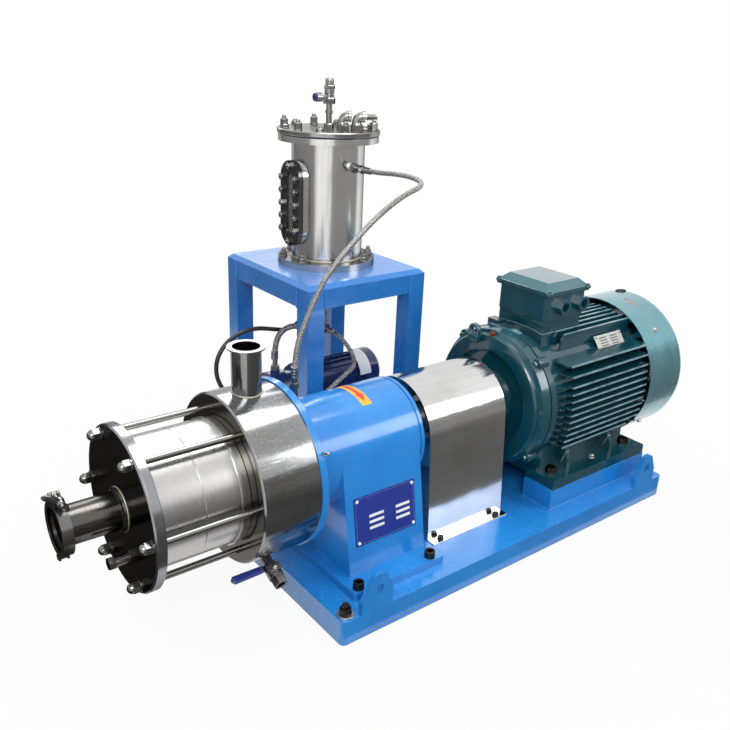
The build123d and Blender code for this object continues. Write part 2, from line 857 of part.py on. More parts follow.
def clamp_swing_bolt():
    # an eye bolt lying in the slot, with its wing nut outside the front ear
    top = clamp_top()
    bolt = rod_y(-38, 8, clamp_bolt_radius, inlet_face, top)
    eye = rod_x(inlet_face - clamp_bolt_radius - 0.6, inlet_face + clamp_bolt_radius + 0.6, 6, 13, top)
    eye = eye - rod_x(inlet_face - 10, inlet_face + 10, 2.5 + running_clearance, 13, top)
    nut = rod_y(-29, -13.4, 8, inlet_face, top)
    wings = []
    for side in (-1, 1):
        outline = Polyline((0, -15), (side * 26, -31), (side * 32, -27), (side * 28, -19),
                           (side * 8, -14), (0, -14), close=True)
        wing = extrude(make_face(outline), 5)
        wings.append(Pos(inlet_face, 0, top - 2.5) * wing)
    return bolt + eye + nut + wings[0] + wings[1]


# Drain valve: a small ball valve below the drum, with its lever


def drain_direction():
    tilt = math.radians(drain_tilt)
    return Vector(0, -math.cos(tilt), -math.sin(tilt))


def drain_base():
    angle = math.radians(drain_angle)
    reach = drum_radius + drain_standoff
    y = reach * math.cos(angle)
    return Vector(flange_front - drain_offset, y, shaft_height + reach * math.sin(angle))


def drain_plane(reach):
    # a plane across the valve's axis, its X side along the shaft and its Y side along the stem
    along = drain_direction()
    start = drain_base()
    return Plane(start + along * reach, x_dir=(1, 0, 0), z_dir=along)


def stem_direction():
    tilt = math.radians(drain_tilt)
    return Vector(0, -math.sin(tilt), math.cos(tilt))


def valve_middle():
    return drain_plane(valve_length * 0.5).origin


def stem_plane(height):
    # a plane across the stem, its X side along the shut lever
    up = stem_direction()
    return Plane(valve_middle() + up * height, x_dir=(-1, 0, 0), z_dir=up)


def drain_valve_body():
    nipple = upward(drain_plane(-22), valve_nipple_radius - 0.05, 34)
    inlet_hex = drain_plane(12) * hexagon(valve_hex_flats, 10)
    body = upward(drain_plane(21), valve_body_radius, 24)
    outlet_hex = drain_plane(44) * hexagon(valve_hex_flats, valve_length - 44)
    bore = upward(drain_plane(-30), valve_bore_radius, valve_length + 40)
    neck = upward(stem_plane(valve_body_radius - 4), 7.5, 10)
    shell = nipple + inlet_hex + body + outlet_hex + neck - bore
    shell = shell - Pos(*valve_middle()) * Sphere(valve_bore_radius + 4)
    mouth = drain_plane(valve_length - valve_mouth_depth)
    shell = shell - upward(mouth, valve_mouth_radius, valve_mouth_depth + 1)
    return shell - upward(stem_plane(0), 4 + running_clearance, 30)


def drain_ball():
    # the ball, its stem and the nut that holds the lever; the hole lies across the pipe when shut
    middle = valve_middle()
    ball = Pos(*middle) * Sphere(valve_bore_radius + 3.7)
    stem = upward(stem_plane(4), 4, 25)
    nut = stem_plane(valve_body_radius + 9.5) * hexagon(11, 5)
    port = Plane(middle, z_dir=(1, 0, 0)) * Cylinder(valve_bore_radius - 1, 60)
    return ball - port + stem + nut


def drain_lever():
    # a cranked flat bar on the stem
    base = valve_body_radius + 6.5
    outline = Polyline((-9, 0), (24, 0), (34, 7), (lever_length, 7), (lever_length, 9.5),
                       (33, 9.5), (23, 2.5), (-9, 2.5), close=True)
    plane = stem_plane(base)
    side = Plane(plane.origin, x_dir=(-1, 0, 0), z_dir=plane.y_dir * -1)
    bar = extrude(side * make_face(outline), lever_width / 2, both=True)
    return bar - upward(stem_plane(base - 2), 4.02, 20)


def lever_sleeve():
    # the plastic sleeve over the lever's far end
    base = valve_body_radius + 6.5 + 8.25
    plane = stem_plane(base)
    side = Plane(plane.origin, x_dir=(-1, 0, 0), z_dir=plane.y_dir * -1)
    outer = Pos((lever_length + 38) / 2 + 3, 0) * RectangleRounded(lever_length - 36, 6.5, 3)
    sleeve = extrude(side * outer, lever_width / 2 + 2, both=True)
    inner = Pos((lever_length + 36) / 2 - 1, 0) * Rectangle(lever_length - 34, 2.52)
    return sleeve - extrude(side * inner, lever_width / 2 + 0.02, both=True)


# Coupling: two jawed hubs with a rubber star between them, under a folded guard


def coupling_stations():
    pump_end = cover_right + 120.0
    return pump_end, pump_end + spider_width


def sector(x_start, x_end, middle_angle, half_angle, inner):
    # a wedge about the shaft, pointing at middle_angle, cut off inside the inner radius
    reach = 2 * hub_radius
    low = math.radians(middle_angle - half_angle)
    high = math.radians(middle_angle + half_angle)
    middle = math.radians(middle_angle)
    outline = Polyline(
        (inner * math.cos(low), inner * math.sin(low)), (reach * math.cos(low), reach * math.sin(low)),
        (reach * math.cos(middle), reach * math.sin(middle)),
        (reach * math.cos(high), reach * math.sin(high)),
        (inner * math.cos(high), inner * math.sin(high)), close=True)
    across = Plane((x_start, 0, shaft_height), x_dir=(0, 1, 0), z_dir=(1, 0, 0))
    return extrude(across * make_face(outline), x_end - x_start)


def coupling_pump_hub():
    face, _ = coupling_stations()
    tip = face + spider_width - jaw_clearance
    profile = [
        (face - hub_length, shaft_radius), (face - hub_length, hub_radius - 14),
        (face - hub_length + 22, hub_radius - 14), (face - hub_length + 22, hub_radius),
        (tip, hub_radius), (tip, jaw_inner_radius), (face, jaw_inner_radius), (face, shaft_radius),
    ]
    hub = turned(profile)
    for index in range(jaw_count):
        middle = (index + 0.5) * 360 / jaw_count
        hub = hub - sector(face, tip + 1, middle, 180 / jaw_count - jaw_half_angle, jaw_inner_radius - 3)
    return hub


def coupling_motor_hub():
    _, face = coupling_stations()
    tip = face - spider_width + jaw_clearance
    bore = motor_shaft_radius
    profile = [
        (tip, jaw_inner_radius), (tip, hub_radius), (face + hub_length - 22, hub_radius),
        (face + hub_length - 22, hub_radius - 12), (face + hub_length + 14, hub_radius - 12),
        (face + hub_length + 14, bore), (face, bore), (face, jaw_inner_radius),
    ]
    hub = turned(profile)
    for index in range(jaw_count):
        middle = index * 360 / jaw_count
        hub = hub - sector(tip - 1, face, middle, 180 / jaw_count - jaw_half_angle, jaw_inner_radius - 3)
    return hub


def coupling_spider():
    # a star whose legs fill the spaces between the jaws of both hubs
    pump_face, motor_face = coupling_stations()
    star = turned([
        (pump_face + 0.5, 10), (pump_face + 0.5, hub_radius - 1), (motor_face - 0.5, hub_radius - 1),
        (motor_face - 0.5, 10),
    ])
    for index in range(2 * jaw_count):
        middle = index * 180 / jaw_count
        space = (jaw_half_angle + 0.6, jaw_inner_radius - jaw_clearance)
        star = star - sector(pump_face, motor_face, middle, *space)
    return star


def guard_bolt_places():
    x_inset = 30.0
    y = guard_foot_half_width + guard_flange / 2
    xs = (guard_left + x_inset, guard_right - x_inset)
    return [(x, side * y) for x in xs for side in (-1, 1)]


def coupling_guard():
    sheet = guard_sheet
    shell = arch(guard_left, guard_right, guard_foot_half_width, skid_height, guard_radius)
    foot_inside = guard_foot_half_width - sheet
    inside = arch(guard_left - 1, guard_right + 1, foot_inside, skid_height - 1, guard_radius - sheet)
    guard = shell - inside
    for side in (-1, 1):
        y_low, y_high = sorted((side * foot_inside, side * (guard_foot_half_width + guard_flange)))
        guard = guard + block(guard_left, guard_right, y_low, y_high, skid_height, skid_height + sheet)
    for x, y in guard_bolt_places():
        guard = guard - rod_z(skid_height - 1, skid_height + sheet + 1, 4 + bolt_clearance, x, y)
    return guard


def guard_bolts():
    bolt = hex_bolt(8, 16, 13, 5.5, 1.6, 8)
    return [Pos(x, y, skid_height + guard_sheet) * bolt for x, y in guard_bolt_places()]


# Motor: finned cast frame on feet, end shields, rotor, fan, cowl and terminal box


def side_fin_tip(height):
    return fin_reach - (height - shaft_height) ** 2 / fin_curve


def side_fins():
    # level fins on both sides, the row nearest the shield shorter than the rest
    fins = []
    count = 10
    lowest = shaft_height - 108.0
    long_start = motor_foot_left + 47.0
    for index in range(count + 2):
        height = lowest + index * fin_pitch
        if index >= count:
            height = lowest + (count - 1) * fin_pitch + (index - count + 1) * 1.4 * fin_pitch
        tip = side_fin_tip(height)
        for side in (-1, 1):
            fins.append(level_fin(long_start, barrel_right, side, tip, height, 10.0))
            if index < count:
                fins.append(level_fin(barrel_left + 45, long_start - 8, side, tip - 11, height, 24.0))
    return fins


def level_fin(x_start, x_end, side, tip, height, slant):
    root = motor_barrel_radius * 0.45
    outline = Polyline((x_start, side * root), (x_start, side * (tip - slant)),
                       (x_start + slant * 0.8, side * tip), (x_end, side * tip),
                       (x_end, side * root), close=True)
    return Pos(0, 0, height - fin_thickness / 2) * extrude(make_face(outline), fin_thickness, dir=(0, 0, 1))


def top_fins():
    # upright fins along the top, the outer pair standing beside the nameplate
    fins = []
    for index in range(-5, 6):
        y = index * fin_pitch
        top = shaft_height + fin_reach - 4 - y ** 2 / fin_curve
        x_start = barrel_left + 106 + 4 * abs(index)
        outline = Polyline((x_start, shaft_height + 60), (x_start, top - 14), (x_start + 12, top),
                           (barrel_right, top), (barrel_right, shaft_height + 60), close=True)
        fin = extrude(Plane.XZ * make_face(outline), fin_thickness / 2, both=True)
        fins.append(Pos(0, y, 0) * fin)
    return fins


def motor_feet():
    pieces = []
    top = foot_base + motor_foot_plate
    for side in (-1, 1):
        y_low, y_high = sorted((side * 108, side * motor_foot_half_width))
        pieces.append(block(motor_foot_left, motor_foot_right, y_low, y_high, foot_base, top))
        for x in (motor_front_hole + 52, motor_rear_hole - 76):
            outline = Polyline((side * 100, foot_base + 5), (side * 176, foot_base + 5),
                               (side * 172, top + 26), (side * 152, top + 70),
                               (side * 100, top + 110), close=True)
            rib = extrude(Plane.YZ * make_face(outline), 6, both=True)
            pieces.append(Pos(x, 0, 0) * rib)
    return pieces


def motor_frame():
    barrel = rod_x(barrel_left + 16, barrel_right, motor_barrel_radius)
    ring = rod_x(barrel_left + 16, barrel_left + 34, motor_end_ring_radius)
    neck = turned([
        (barrel_left + 34, 0), (barrel_left + 34, motor_end_ring_radius - 6),
        (barrel_left + 60, motor_barrel_radius), (barrel_left + 60, 0),
    ])
    web = block(motor_foot_left + 12, motor_foot_right - 12, -132, 132, foot_base + 3, shaft_height - 60)
    frame = barrel + [ring, neck, web] + side_fins() + top_fins() + motor_feet()
    pad_half = terminal_box_width / 2 - 8
    pad = block(terminal_left() + 4, terminal_left() + terminal_box_length - 4, -pad_half, pad_half,
                shaft_height + 80, terminal_box_base())
    lug = Pos(barrel_left + 34, 44, shaft_height + 150) * Box(26, 40, 84)
    frame = frame + [pad, lug]
    inside = rod_x(barrel_left, cowl_right, motor_barrel_radius - motor_barrel_wall)
    frame = frame - inside
    for x in (motor_front_hole, motor_rear_hole):
        for side in (-1, 1):
            y = side * motor_foot_spacing_y / 2
            foot_top = foot_base + motor_foot_plate
            frame = frame - rod_z(foot_base - 1, foot_top + 1, motor_foot_hole_radius, x, y)
            frame = frame - rod_z(foot_top, shaft_height - 90, 21, x, y)
    return frame


def terminal_left():
    return barrel_left + 70.0


def terminal_box_base():
    return terminal_box_top - 70.0


def drive_end_shield():
    back = barrel_left + 16
    spigot = motor_barrel_radius - motor_barrel_wall - 0.1
    hub = 66.0
    seat = bearing_outer_radius + 5
    front = back - motor_shield_inset + 8
    return turned([
        (motor_shoulder + 8, motor_shaft_radius + 3), (motor_shoulder + 8, hub), (front + 16, hub + 6),
        (front + 16, 118), (front, 128), (front, motor_shield_radius - 3), (front + 3, motor_shield_radius),
        (front + 14, motor_shield_radius), (front + 18, motor_shield_radius + 10),
        (back - 3, motor_end_ring_radius - 2), (back, motor_end_ring_radius - 4),
        (back, spigot), (back + 8, spigot), (back + 8, spigot - 12), (back - 4, spigot - 20),
        (back - 4, seat + 12), (motor_shoulder + 50, seat + 8), (motor_shoulder + 50, seat),
        (motor_shoulder + 16, seat), (motor_shoulder + 16, motor_shaft_radius + 3),
    ])


def rear_end_shield():
    spigot = motor_barrel_radius - motor_barrel_wall - 0.1
    seat = bearing_outer_radius + 5
    start = barrel_right - 8
    return turned([
        (start, spigot - 14), (start, spigot), (barrel_right, spigot),
        (barrel_right, motor_barrel_radius + 6), (barrel_right + 12, motor_barrel_radius + 6),
        (barrel_right + 20, 110), (barrel_right + 24, seat + 12),
        (barrel_right + 24, motor_shaft_radius + 1), (barrel_right + 18, motor_shaft_radius + 1),
        (barrel_right + 18, seat), (start - 16, seat), (start - 16, seat + 10), (barrel_right - 2, seat + 14),
        (barrel_right - 2, spigot - 14),
    ])


def motor_bearings():
    seat = bearing_outer_radius + 5
    rings = []
    for start in (motor_shoulder + 16, barrel_right - 20):
        rings.append(turned([
            (start, motor_shaft_radius + 2.5), (start, seat),
            (start + motor_bearing_width, seat), (start + motor_bearing_width, motor_shaft_radius + 2.5),
        ]))
    return rings


def motor_stator():
    outer = motor_barrel_radius - motor_barrel_wall
    core = turned([
        (barrel_left + 110, 102), (barrel_left + 110, outer),
        (barrel_right - 90, outer), (barrel_right - 90, 102),
    ])
    windings = turned([
        (barrel_left + 66, 108), (barrel_left + 66, 136), (barrel_right - 46, 136), (barrel_right - 46, 108),
    ])
    return core + windings


def motor_rotor():
    journal = motor_shaft_radius + 2.5 - running_clearance
    back_bearing = barrel_right - 20
    core_start = barrel_left + motor_core_start
    core_end = barrel_right - motor_core_end
    shaft_end = barrel_right + fan_setback + fan_hub_length + 4
    return turned([
        (motor_shaft_end, 0), (motor_shaft_end, motor_shaft_radius - 2),
        (motor_shaft_end + 2, motor_shaft_radius),
        (motor_shoulder + 6, motor_shaft_radius), (motor_shoulder + 6, journal),
        (motor_shoulder + 56, journal), (motor_shoulder + 56, 36), (core_start, 36),
        (core_start, motor_core_radius), (core_end, motor_core_radius), (core_end, 36),
        (back_bearing - 2, 36), (back_bearing - 2, journal), (barrel_right + 14, journal),
        (barrel_right + 14, motor_shaft_radius - 2), (shaft_end, motor_shaft_radius - 2),
        (shaft_end, 0),
    ])


def motor_fan():
    hub_start = barrel_right + fan_setback
    hub_end = hub_start + fan_hub_length
    bore = motor_shaft_radius - 2
    disc_start = hub_start + fan_disc_setback
    disc_end = disc_start + fan_disc_plate
    fan = turned([
        (hub_start, bore), (hub_start, fan_hub_radius), (disc_start, fan_disc_radius),
        (disc_start, fan_rim_radius), (disc_end, fan_rim_radius), (disc_end, fan_disc_radius),
        (hub_end, fan_hub_radius - 4), (hub_end, bore),
    ])
    blade = Box(fan_blade_height, fan_blade_length, fan_blade_thickness)
    blade_middle = disc_end - 1 + fan_blade_height / 2
    for angle, _, _ in around_x(fan_blade_count, fan_rim_radius):
        turn = Pos(blade_middle, 0, shaft_height) * Rot(math.degrees(angle), 0, 0)
        fan = fan + turn * Pos(0, fan_tip_radius - fan_blade_length / 2, 0) * blade
    return fan


def fan_cowl():
    edge = cowl_edge_radius
    sheet = cowl_sheet
    half = edge * math.sqrt(0.5)
    outer_arc = ThreePointArc(
        (cowl_right - edge, 0, cowl_radius), (cowl_right - edge + half, 0, cowl_radius - edge + half),
        (cowl_right, 0, cowl_radius - edge))
    rest = Polyline(
        (cowl_right, 0, cowl_radius - edge), (cowl_right, 0, 30), (cowl_right - sheet, 0, 30),
        (cowl_right - sheet, 0, cowl_radius - edge), (cowl_right - edge, 0, cowl_radius - sheet),
        (cowl_left, 0, cowl_radius - sheet), (cowl_left, 0, cowl_radius), (cowl_right - edge, 0, cowl_radius))
    cowl = Pos(0, 0, shaft_height) * revolve(make_face(outer_arc + rest), Axis.X, 360)
    for ring in range(3):
        radius = 58 + 36 * ring
        for angle, _, _ in around_x(6, radius, 12):
            turn = Pos(cowl_right, 0, shaft_height) * Rot(math.degrees(angle), 0, 0)
            window = turn * Pos(0, radius, 0) * Box(12, 22, radius * 0.8)
            cowl = cowl - window
    return cowl


def cowl_carriers():
    # four lugs on the rear shield that the cowl is screwed to
    lugs = []
    for angle, _, _ in around_x(4, 100, 45):
        inner = motor_barrel_radius + 2
        outer = cowl_radius - cowl_sheet - 0.3
        lug = Pos(barrel_right + 8, 0, shaft_height) * Rot(math.degrees(angle), 0, 0) * Pos(
            0, (inner + outer) / 2, 0) * Box(12, outer - inner, 16)
        lugs.append(lug)
    return lugs


def terminal_box():
    left = terminal_left()
    right = left + terminal_box_length
    half = terminal_box_width / 2
    base = terminal_box_base()
    top = terminal_box_top
    outer = block(left, right, -half, half, base, top)
    outer = chamfer(outer.edges().filter_by(Axis.Z), 9)
    wall = terminal_box_wall
    inset = wall + 4
    room = (left + inset, right - inset, -half + inset, half - inset)
    box = outer - block(*room, base + wall, top + 1)
    rim = block(left - 4, right + 4, -half - 4, half + 4, top - 6, top)
    rim = rim - block(*room, top - 8, top + 1)
    box = box + rim
    z = base + 34
    for x in cable_entry_places():
        entry = Pos(x, -half + 2, z) * Rot(90, 0, 0) * hexagon(36, 18)
        box = box + entry
        box = box - rod_y(-half - 20, -half + wall + 5, cable_entry_radius, x, z)
    return box


def cable_entry_places():
    middle = terminal_left() + terminal_box_length / 2 + 15
    return [middle - cable_entry_spacing / 2, middle + cable_entry_spacing / 2]


def terminal_lid():
    left = terminal_left() - 4
    right = terminal_left() + terminal_box_length + 4
    half = terminal_box_width / 2 + 4
    top = terminal_box_top
    plate = block(left, right, -half, half, top, top + 6)
    middle_x = (left + right) / 2
    low = Pos(middle_x, 0, top + 6) * Rectangle(right - left - 4, 2 * half - 4)
    high = Pos(middle_x, 0, top + terminal_lid_height) * Rectangle(right - left - 44, 2 * half - 44)
    lid = plate + loft([low, high])
    for x in (left + 5, right - 5):
        for y in (-half + 5, half - 5):
            side = -1 if y < 0 else 1
            lid = lid + Pos(x, y + side * 3, top + 3) * Cylinder(8, 6)
            lid = lid + Pos(x, y + side * 3, top + 8.5) * Cylinder(5, 5)
    return lid


def foot_bolts():
    # hexagon bolts of the motor feet and the skid's own holding-down bolts
    bolts = []
    bolt = hex_bolt(16, 44, 24, 10, 3, 15)
    for x in (motor_front_hole, motor_rear_hole):
        for side in (-1, 1):
            bolts.append(Pos(x, side * motor_foot_spacing_y / 2, foot_base + motor_foot_plate) * bolt)
    anchor = hex_bolt(16, skid_height - 2, 24, 13, 3, 18)
    stud = Pos(0, 0, 20) * Cylinder(8, 10)
    for x, y in foundation_holes()[:2]:
        bolts.append(Pos(x, y, skid_height) * (anchor + stud))
    return bolts


def web_side():
    # the touching point of the pedestal's side wall and the lean of that wall from upright
    low = skid_height + pedestal_foot_plate - shaft_height
    y_touch, z_touch = tangent_point(pedestal_web_half_width, low, housing_radius)
    lean = math.atan2(pedestal_web_half_width - y_touch, z_touch - low)
    return y_touch, shaft_height + z_touch, lean


def nameplates():
    # the pedestal's plate with four rivets, and the motor's plate on its two bosses
    y_touch, z_touch, lean = web_side()
    height = 192.0
    y = -(y_touch + (z_touch - height) * math.tan(lean)) - plate_thickness / 2 / math.cos(lean)
    plate = Box(nameplate_length, plate_thickness, nameplate_height)
    for x in (-1, 1):
        for z in (-1, 1):
            rivet = Rot(90, 0, 0) * Cylinder(2.5, 1.6)
            place = Pos(x * (nameplate_length / 2 - 5), -plate_thickness, z * (nameplate_height / 2 - 5))
            plate = plate + place * rivet
    middle_x = (pedestal_left + pedestal_right) / 2 + 5
    return [Pos(middle_x, y, height) * Rot(-math.degrees(lean), 0, 0) * plate]


# Stand: four square tubes with rails, a capped top and a shelf for the circulation pump


def square_tube(length):
    # along X, starting at the origin's corner
    tube = Box(length, stand_tube, stand_tube, align=(Align.MIN, Align.MIN, Align.MIN))
    bore = Pos(0, stand_tube_wall, stand_tube_wall) * Box(
        length, stand_tube - 2 * stand_tube_wall, stand_tube - 2 * stand_tube_wall,
        align=(Align.MIN, Align.MIN, Align.MIN))
    return tube - bore


def stand_bolt_places():
    return [stand_left + stand_tube / 2, stand_right - stand_tube / 2]


def stand_frame():
    pieces = []
    rail_top = stand_top_height
    leg = Rot(0, -90, 0) * square_tube(rail_top)
    leg = Pos(stand_tube, 0, 0) * leg
    long_rail = square_tube(stand_length - 2 * stand_tube)
    side_rail = Rot(0, 0, 90) * square_tube(stand_width - 2 * stand_tube)
    side_rail = Pos(stand_tube, 0, 0) * side_rail
    for x in (stand_left, stand_right - stand_tube):
        for y in (stand_front, stand_back - stand_tube):
            piece = Pos(x, y, 0) * leg
            if y == stand_front:
                piece = piece - rod_y(y - 1, y + 2 * stand_tube_wall, 5 + bolt_clearance, x + stand_tube / 2,
                                      skid_height / 2)
            pieces.append(piece)
    for z in (rail_top - stand_tube, shelf_height - shelf_plate - stand_tube):
        for y in (stand_front, stand_back - stand_tube):
            pieces.append(Pos(stand_left + stand_tube, y, z) * long_rail)
        for x in (stand_left, stand_right - stand_tube):
            pieces.append(Pos(x, stand_front + stand_tube, z) * side_rail)
    pieces.append(shelf())
    return pieces


def shelf():
    plate = block(stand_left, stand_right, stand_front, stand_back, shelf_height - shelf_plate, shelf_height)
    for x in (stand_left, stand_right - stand_tube):
        for y in (stand_front, stand_back - stand_tube):
            plate = plate - block(x, x + stand_tube, y, y + stand_tube, shelf_height - 2 * shelf_plate,
                                  shelf_height + 1)
    return plate


def stand_top():
    low = Pos(stand_centre_x, stand_centre_y, stand_top_height) * Rectangle(stand_length, stand_width)
    high = Pos(stand_centre_x, stand_centre_y, vessel_bottom) * Rectangle(
        stand_length - 2 * stand_cap_inset, stand_width - 2 * stand_cap_inset)
    top = loft([low, high])
    for x, y in (vessel_drain_place(), vessel_suction_place()):
        top = top - rod_z(stand_top_height - 1, vessel_bottom + 1, 12, x, y)
    for _, x, y in around_vessel(base_bolt_count, vessel_bolt_circle, 22.5):
        top = top - rod_z(stand_top_height - 1, vessel_bottom + 1, 5 + bolt_clearance, x, y)
    return top


def stand_bolts():
    # join the stand's near legs to the back of the skid
    bolt = hex_bolt(10, skid_plate + stand_tube_wall + 16, 17, 6.4, 2, 10)
    turned_bolt = Rot(90, 0, 0) * bolt
    return [Pos(x, skid_back - skid_plate, skid_height / 2) * turned_bolt for x in stand_bolt_places()]


# Vessel: welded tube with two flanges, a bolted lid and a bolted sight glass


def vessel_x():
    return stand_centre_x + 5.0


def around_vessel(count, radius, start=0.0):
    places = []
    for index in range(count):
        angle = math.radians(start + 360 / count * index)
        x = vessel_x() + radius * math.cos(angle)
        places.append((angle, x, stand_centre_y + radius * math.sin(angle)))
    return places


def vessel_drain_place():
    return vessel_x(), stand_centre_y


def vessel_suction_place():
    return vessel_x() - 39.0, stand_centre_y + 38.0


def sight_low():
    return vessel_bottom + sight_bottom


def sight_middle():
    return sight_low() + sight_length / 2


def sight_plate(x_start, x_end, width, length):
    # an upright plate with round ends, facing the inlet side
    flat = RectangleRounded(length, width, width / 2 - 0.01)
    plane = Plane((x_start, stand_centre_y, sight_middle()), x_dir=(0, 0, 1), z_dir=(1, 0, 0))
    return extrude(plane * flat, x_end - x_start)


def sight_face():
    return vessel_x() - sight_frame_reach


def vessel_shell():
    # a tube with its side port and sight frame, welded between a base and a top flange
    bottom = vessel_bottom + vessel_base_plate
    top = vessel_bottom + vessel_height
    flange_low = top - vessel_top_flange
    x = vessel_x()
    y = stand_centre_y
    tube = rod_z(bottom, flange_low, vessel_radius, x, y)
    frame_right = x - vessel_radius * 0.5
    tube = tube + sight_plate(sight_face() + sight_cover, frame_right, sight_width - 6, sight_length - 6)
    tube = tube + rod_y(y - vessel_radius - 14, y, 9, x, side_port_height())
    tube = tube - rod_z(bottom - 1, flange_low + 1, vessel_radius - vessel_wall, x, y)
    tube = tube - sight_plate(sight_face(), x, sight_slot_width, sight_length - 56)
    tube = tube - rod_y(y - vessel_radius - 15, y, 5, x, side_port_height())
    base = rod_z(vessel_bottom, bottom, vessel_base_radius, x, y)
    base = base - rod_z(vessel_bottom + 10, bottom + 1, vessel_radius - vessel_wall, x, y)
    for place in (vessel_drain_place(), vessel_suction_place()):
        base = base - rod_z(vessel_bottom - 1, vessel_bottom + 11, 6, *place)
    for _, bolt_x, bolt_y in around_vessel(base_bolt_count, vessel_bolt_circle, 22.5):
        base = base - rod_z(vessel_bottom - 1, bottom + 1, vessel_bolt_hole, bolt_x, bolt_y)
    flange = rod_z(flange_low, top, vessel_base_radius, x, y)
    flange = flange - rod_z(flange_low - 1, top + 1, vessel_radius - vessel_wall, x, y)
    for _, bolt_x, bolt_y in around_vessel(lid_bolt_count, vessel_bolt_circle, 15):
        flange = flange - rod_z(flange_low - 1, top + 1, vessel_bolt_hole, bolt_x, bolt_y)
    return [tube, base, flange]


def side_port_height():
    return vessel_bottom + 265.0


def vessel_gasket_ring():
    top = vessel_bottom + vessel_height
    ring = upright([
        (vessel_radius - 4, top), (vessel_base_radius - 1, top),
        (vessel_base_radius - 1, top + vessel_gasket), (vessel_radius - 4, top + vessel_gasket),
    ], vessel_x(), stand_centre_y)
    for _, x, y in around_vessel(lid_bolt_count, vessel_bolt_circle, 15):
        ring = ring - rod_z(top - 1, top + vessel_gasket + 1, 5 + bolt_clearance, x, y)
    return ring


def lid_underside():
    return vessel_bottom + vessel_height + vessel_gasket


def vessel_lid():
    low = lid_underside()
    lid = upright([
        (0, low), (vessel_lid_radius - 2, low), (vessel_lid_radius, low + 2),
        (vessel_lid_radius, low + vessel_lid_plate - 2), (vessel_lid_radius - 2, low + vessel_lid_plate),
        (0, low + vessel_lid_plate),
    ], vessel_x(), stand_centre_y)
    for _, x, y in around_vessel(lid_bolt_count, vessel_bolt_circle, 15):
        lid = lid - rod_z(low - 1, low + vessel_lid_plate + 1, 5 + bolt_clearance, x, y)
    for x, y in lid_port_places():
        lid = lid - rod_z(low - 1, low + vessel_lid_plate + 1, 5, x, y)
    return lid


def lid_port_places():
    # the filling valve in the middle and two elbows beside it, towards the motor side
    across = Vector(0.786, -0.618, 0)
    middle = Vector(vessel_x(), stand_centre_y, 0)
    places = [middle, middle + across * 36, middle + across * 72]
    return [(place.X, place.Y) for place in places]


def vessel_bolts():
    pieces = []
    lid_top = lid_underside() + vessel_lid_plate
    grip = vessel_lid_plate + vessel_gasket + vessel_top_flange
    lid_bolt = hex_bolt(10, grip + 16, 17, 7, 2, 10) + Pos(0, 0, -grip - 9) * hexagon(17, 8)
    stud_end = Pos(0, 0, 19) * Cylinder(5, 20)
    for index, (_, x, y) in enumerate(around_vessel(lid_bolt_count, vessel_bolt_circle, 15)):
        piece = lid_bolt + stud_end if index % 2 == 0 else lid_bolt
        pieces.append(Pos(x, y, lid_top) * piece)
    base_bolt = hex_bolt(10, vessel_base_plate + stand_cap_rise, 17, 7, 2, 10)
    base_bolt = base_bolt + Pos(0, 0, 14) * Cylinder(5, 12)
    for _, x, y in around_vessel(base_bolt_count, vessel_bolt_circle, 22.5):
        pieces.append(Pos(x, y, vessel_bottom + vessel_base_plate) * base_bolt)
    return pieces


def sight_pane():
    # the glass lies in the cover's recess against the frame
    face = sight_face()
    return sight_plate(face + sight_cover - 8, face + sight_cover, sight_slot_width + 8, sight_length - 46)


def sight_glass_cover():
    face = sight_face()
    cover = sight_plate(face, face + sight_cover, sight_width, sight_length)
    cover = cover - sight_plate(face - 1, face + sight_cover + 1, sight_slot_width - 6, sight_length - 62)
    cover = cover - sight_plate(face + sight_cover - 8.2, face + sight_cover + 1,
                                sight_slot_width + 8.4, sight_length - 45.6)
    for y, z in sight_bolt_places():
        cover = cover - rod_x(face - 1, face + sight_cover + 1, 5 + bolt_clearance, y, z)
    return cover


def sight_bolt_places():
    places = []
    for index in range(5):
        z = sight_middle() + (index - 2) * 33
        places.append((stand_centre_y - 31, z))
        places.append((stand_centre_y + 31, z))
    places.append((stand_centre_y, sight_middle() + sight_length / 2 - 13))
    places.append((stand_centre_y, sight_middle() - sight_length / 2 + 13))
    return places


def sight_bolts():
    bolt = hex_bolt(8, sight_cover, 15, 7) + Pos(0, 0, 9.5) * Cylinder(4, 5)
    turn = Rot(0, -90, 0)
    return [Pos(sight_face(), y, z) * turn * bolt for y, z in sight_bolt_places()]


# Lid fittings: filling pipe with its valve, a push-in fitting and two hose elbows


def filling_valve():
    x, y = lid_port_places()[0]
    base = lid_underside() + vessel_lid_plate
    socket = rod_z(base, base + 12, 13, x, y)
    pipe = rod_z(base + 12, base + 58, 8.5, x, y)
    body = Pos(x, y, base + 58) * hexagon(30, 12)
    body = body + rod_z(base + 70, base + 98, 13, x, y)
    body = body + Pos(x, y, base + 98) * hexagon(24, 8)
    arm = rod_x(x - 26, x, 8, y, base + 76)
    collar = rod_x(x - 40, x - 26, 11, y, base + 76)
    valve = socket + pipe + body + arm + collar
    valve = valve - rod_z(base - 1, base + 76, 4, x, y)
    valve = valve - rod_z(base + 88, base + 107, knob_stem_radius + running_clearance, x, y)
    return valve - rod_x(x - 41, x, release_bore_radius, y, base + 76)


def valve_knob():
    # a small screw-down knob on top of the filling valve
    x, y = lid_port_places()[0]
    base = lid_underside() + vessel_lid_plate + 106
    stem = rod_z(base - 14, base + 6, knob_stem_radius, x, y)
    knob = rod_z(base + 6, base + 16, 9, x, y)
    for angle, _, _ in around_x(6, 9):
        turn = Pos(x, y, base + 11) * Rot(0, 0, math.degrees(angle))
        knob = knob - turn * Pos(10, 0, 0) * Cylinder(2.2, 12)
    return stem + knob


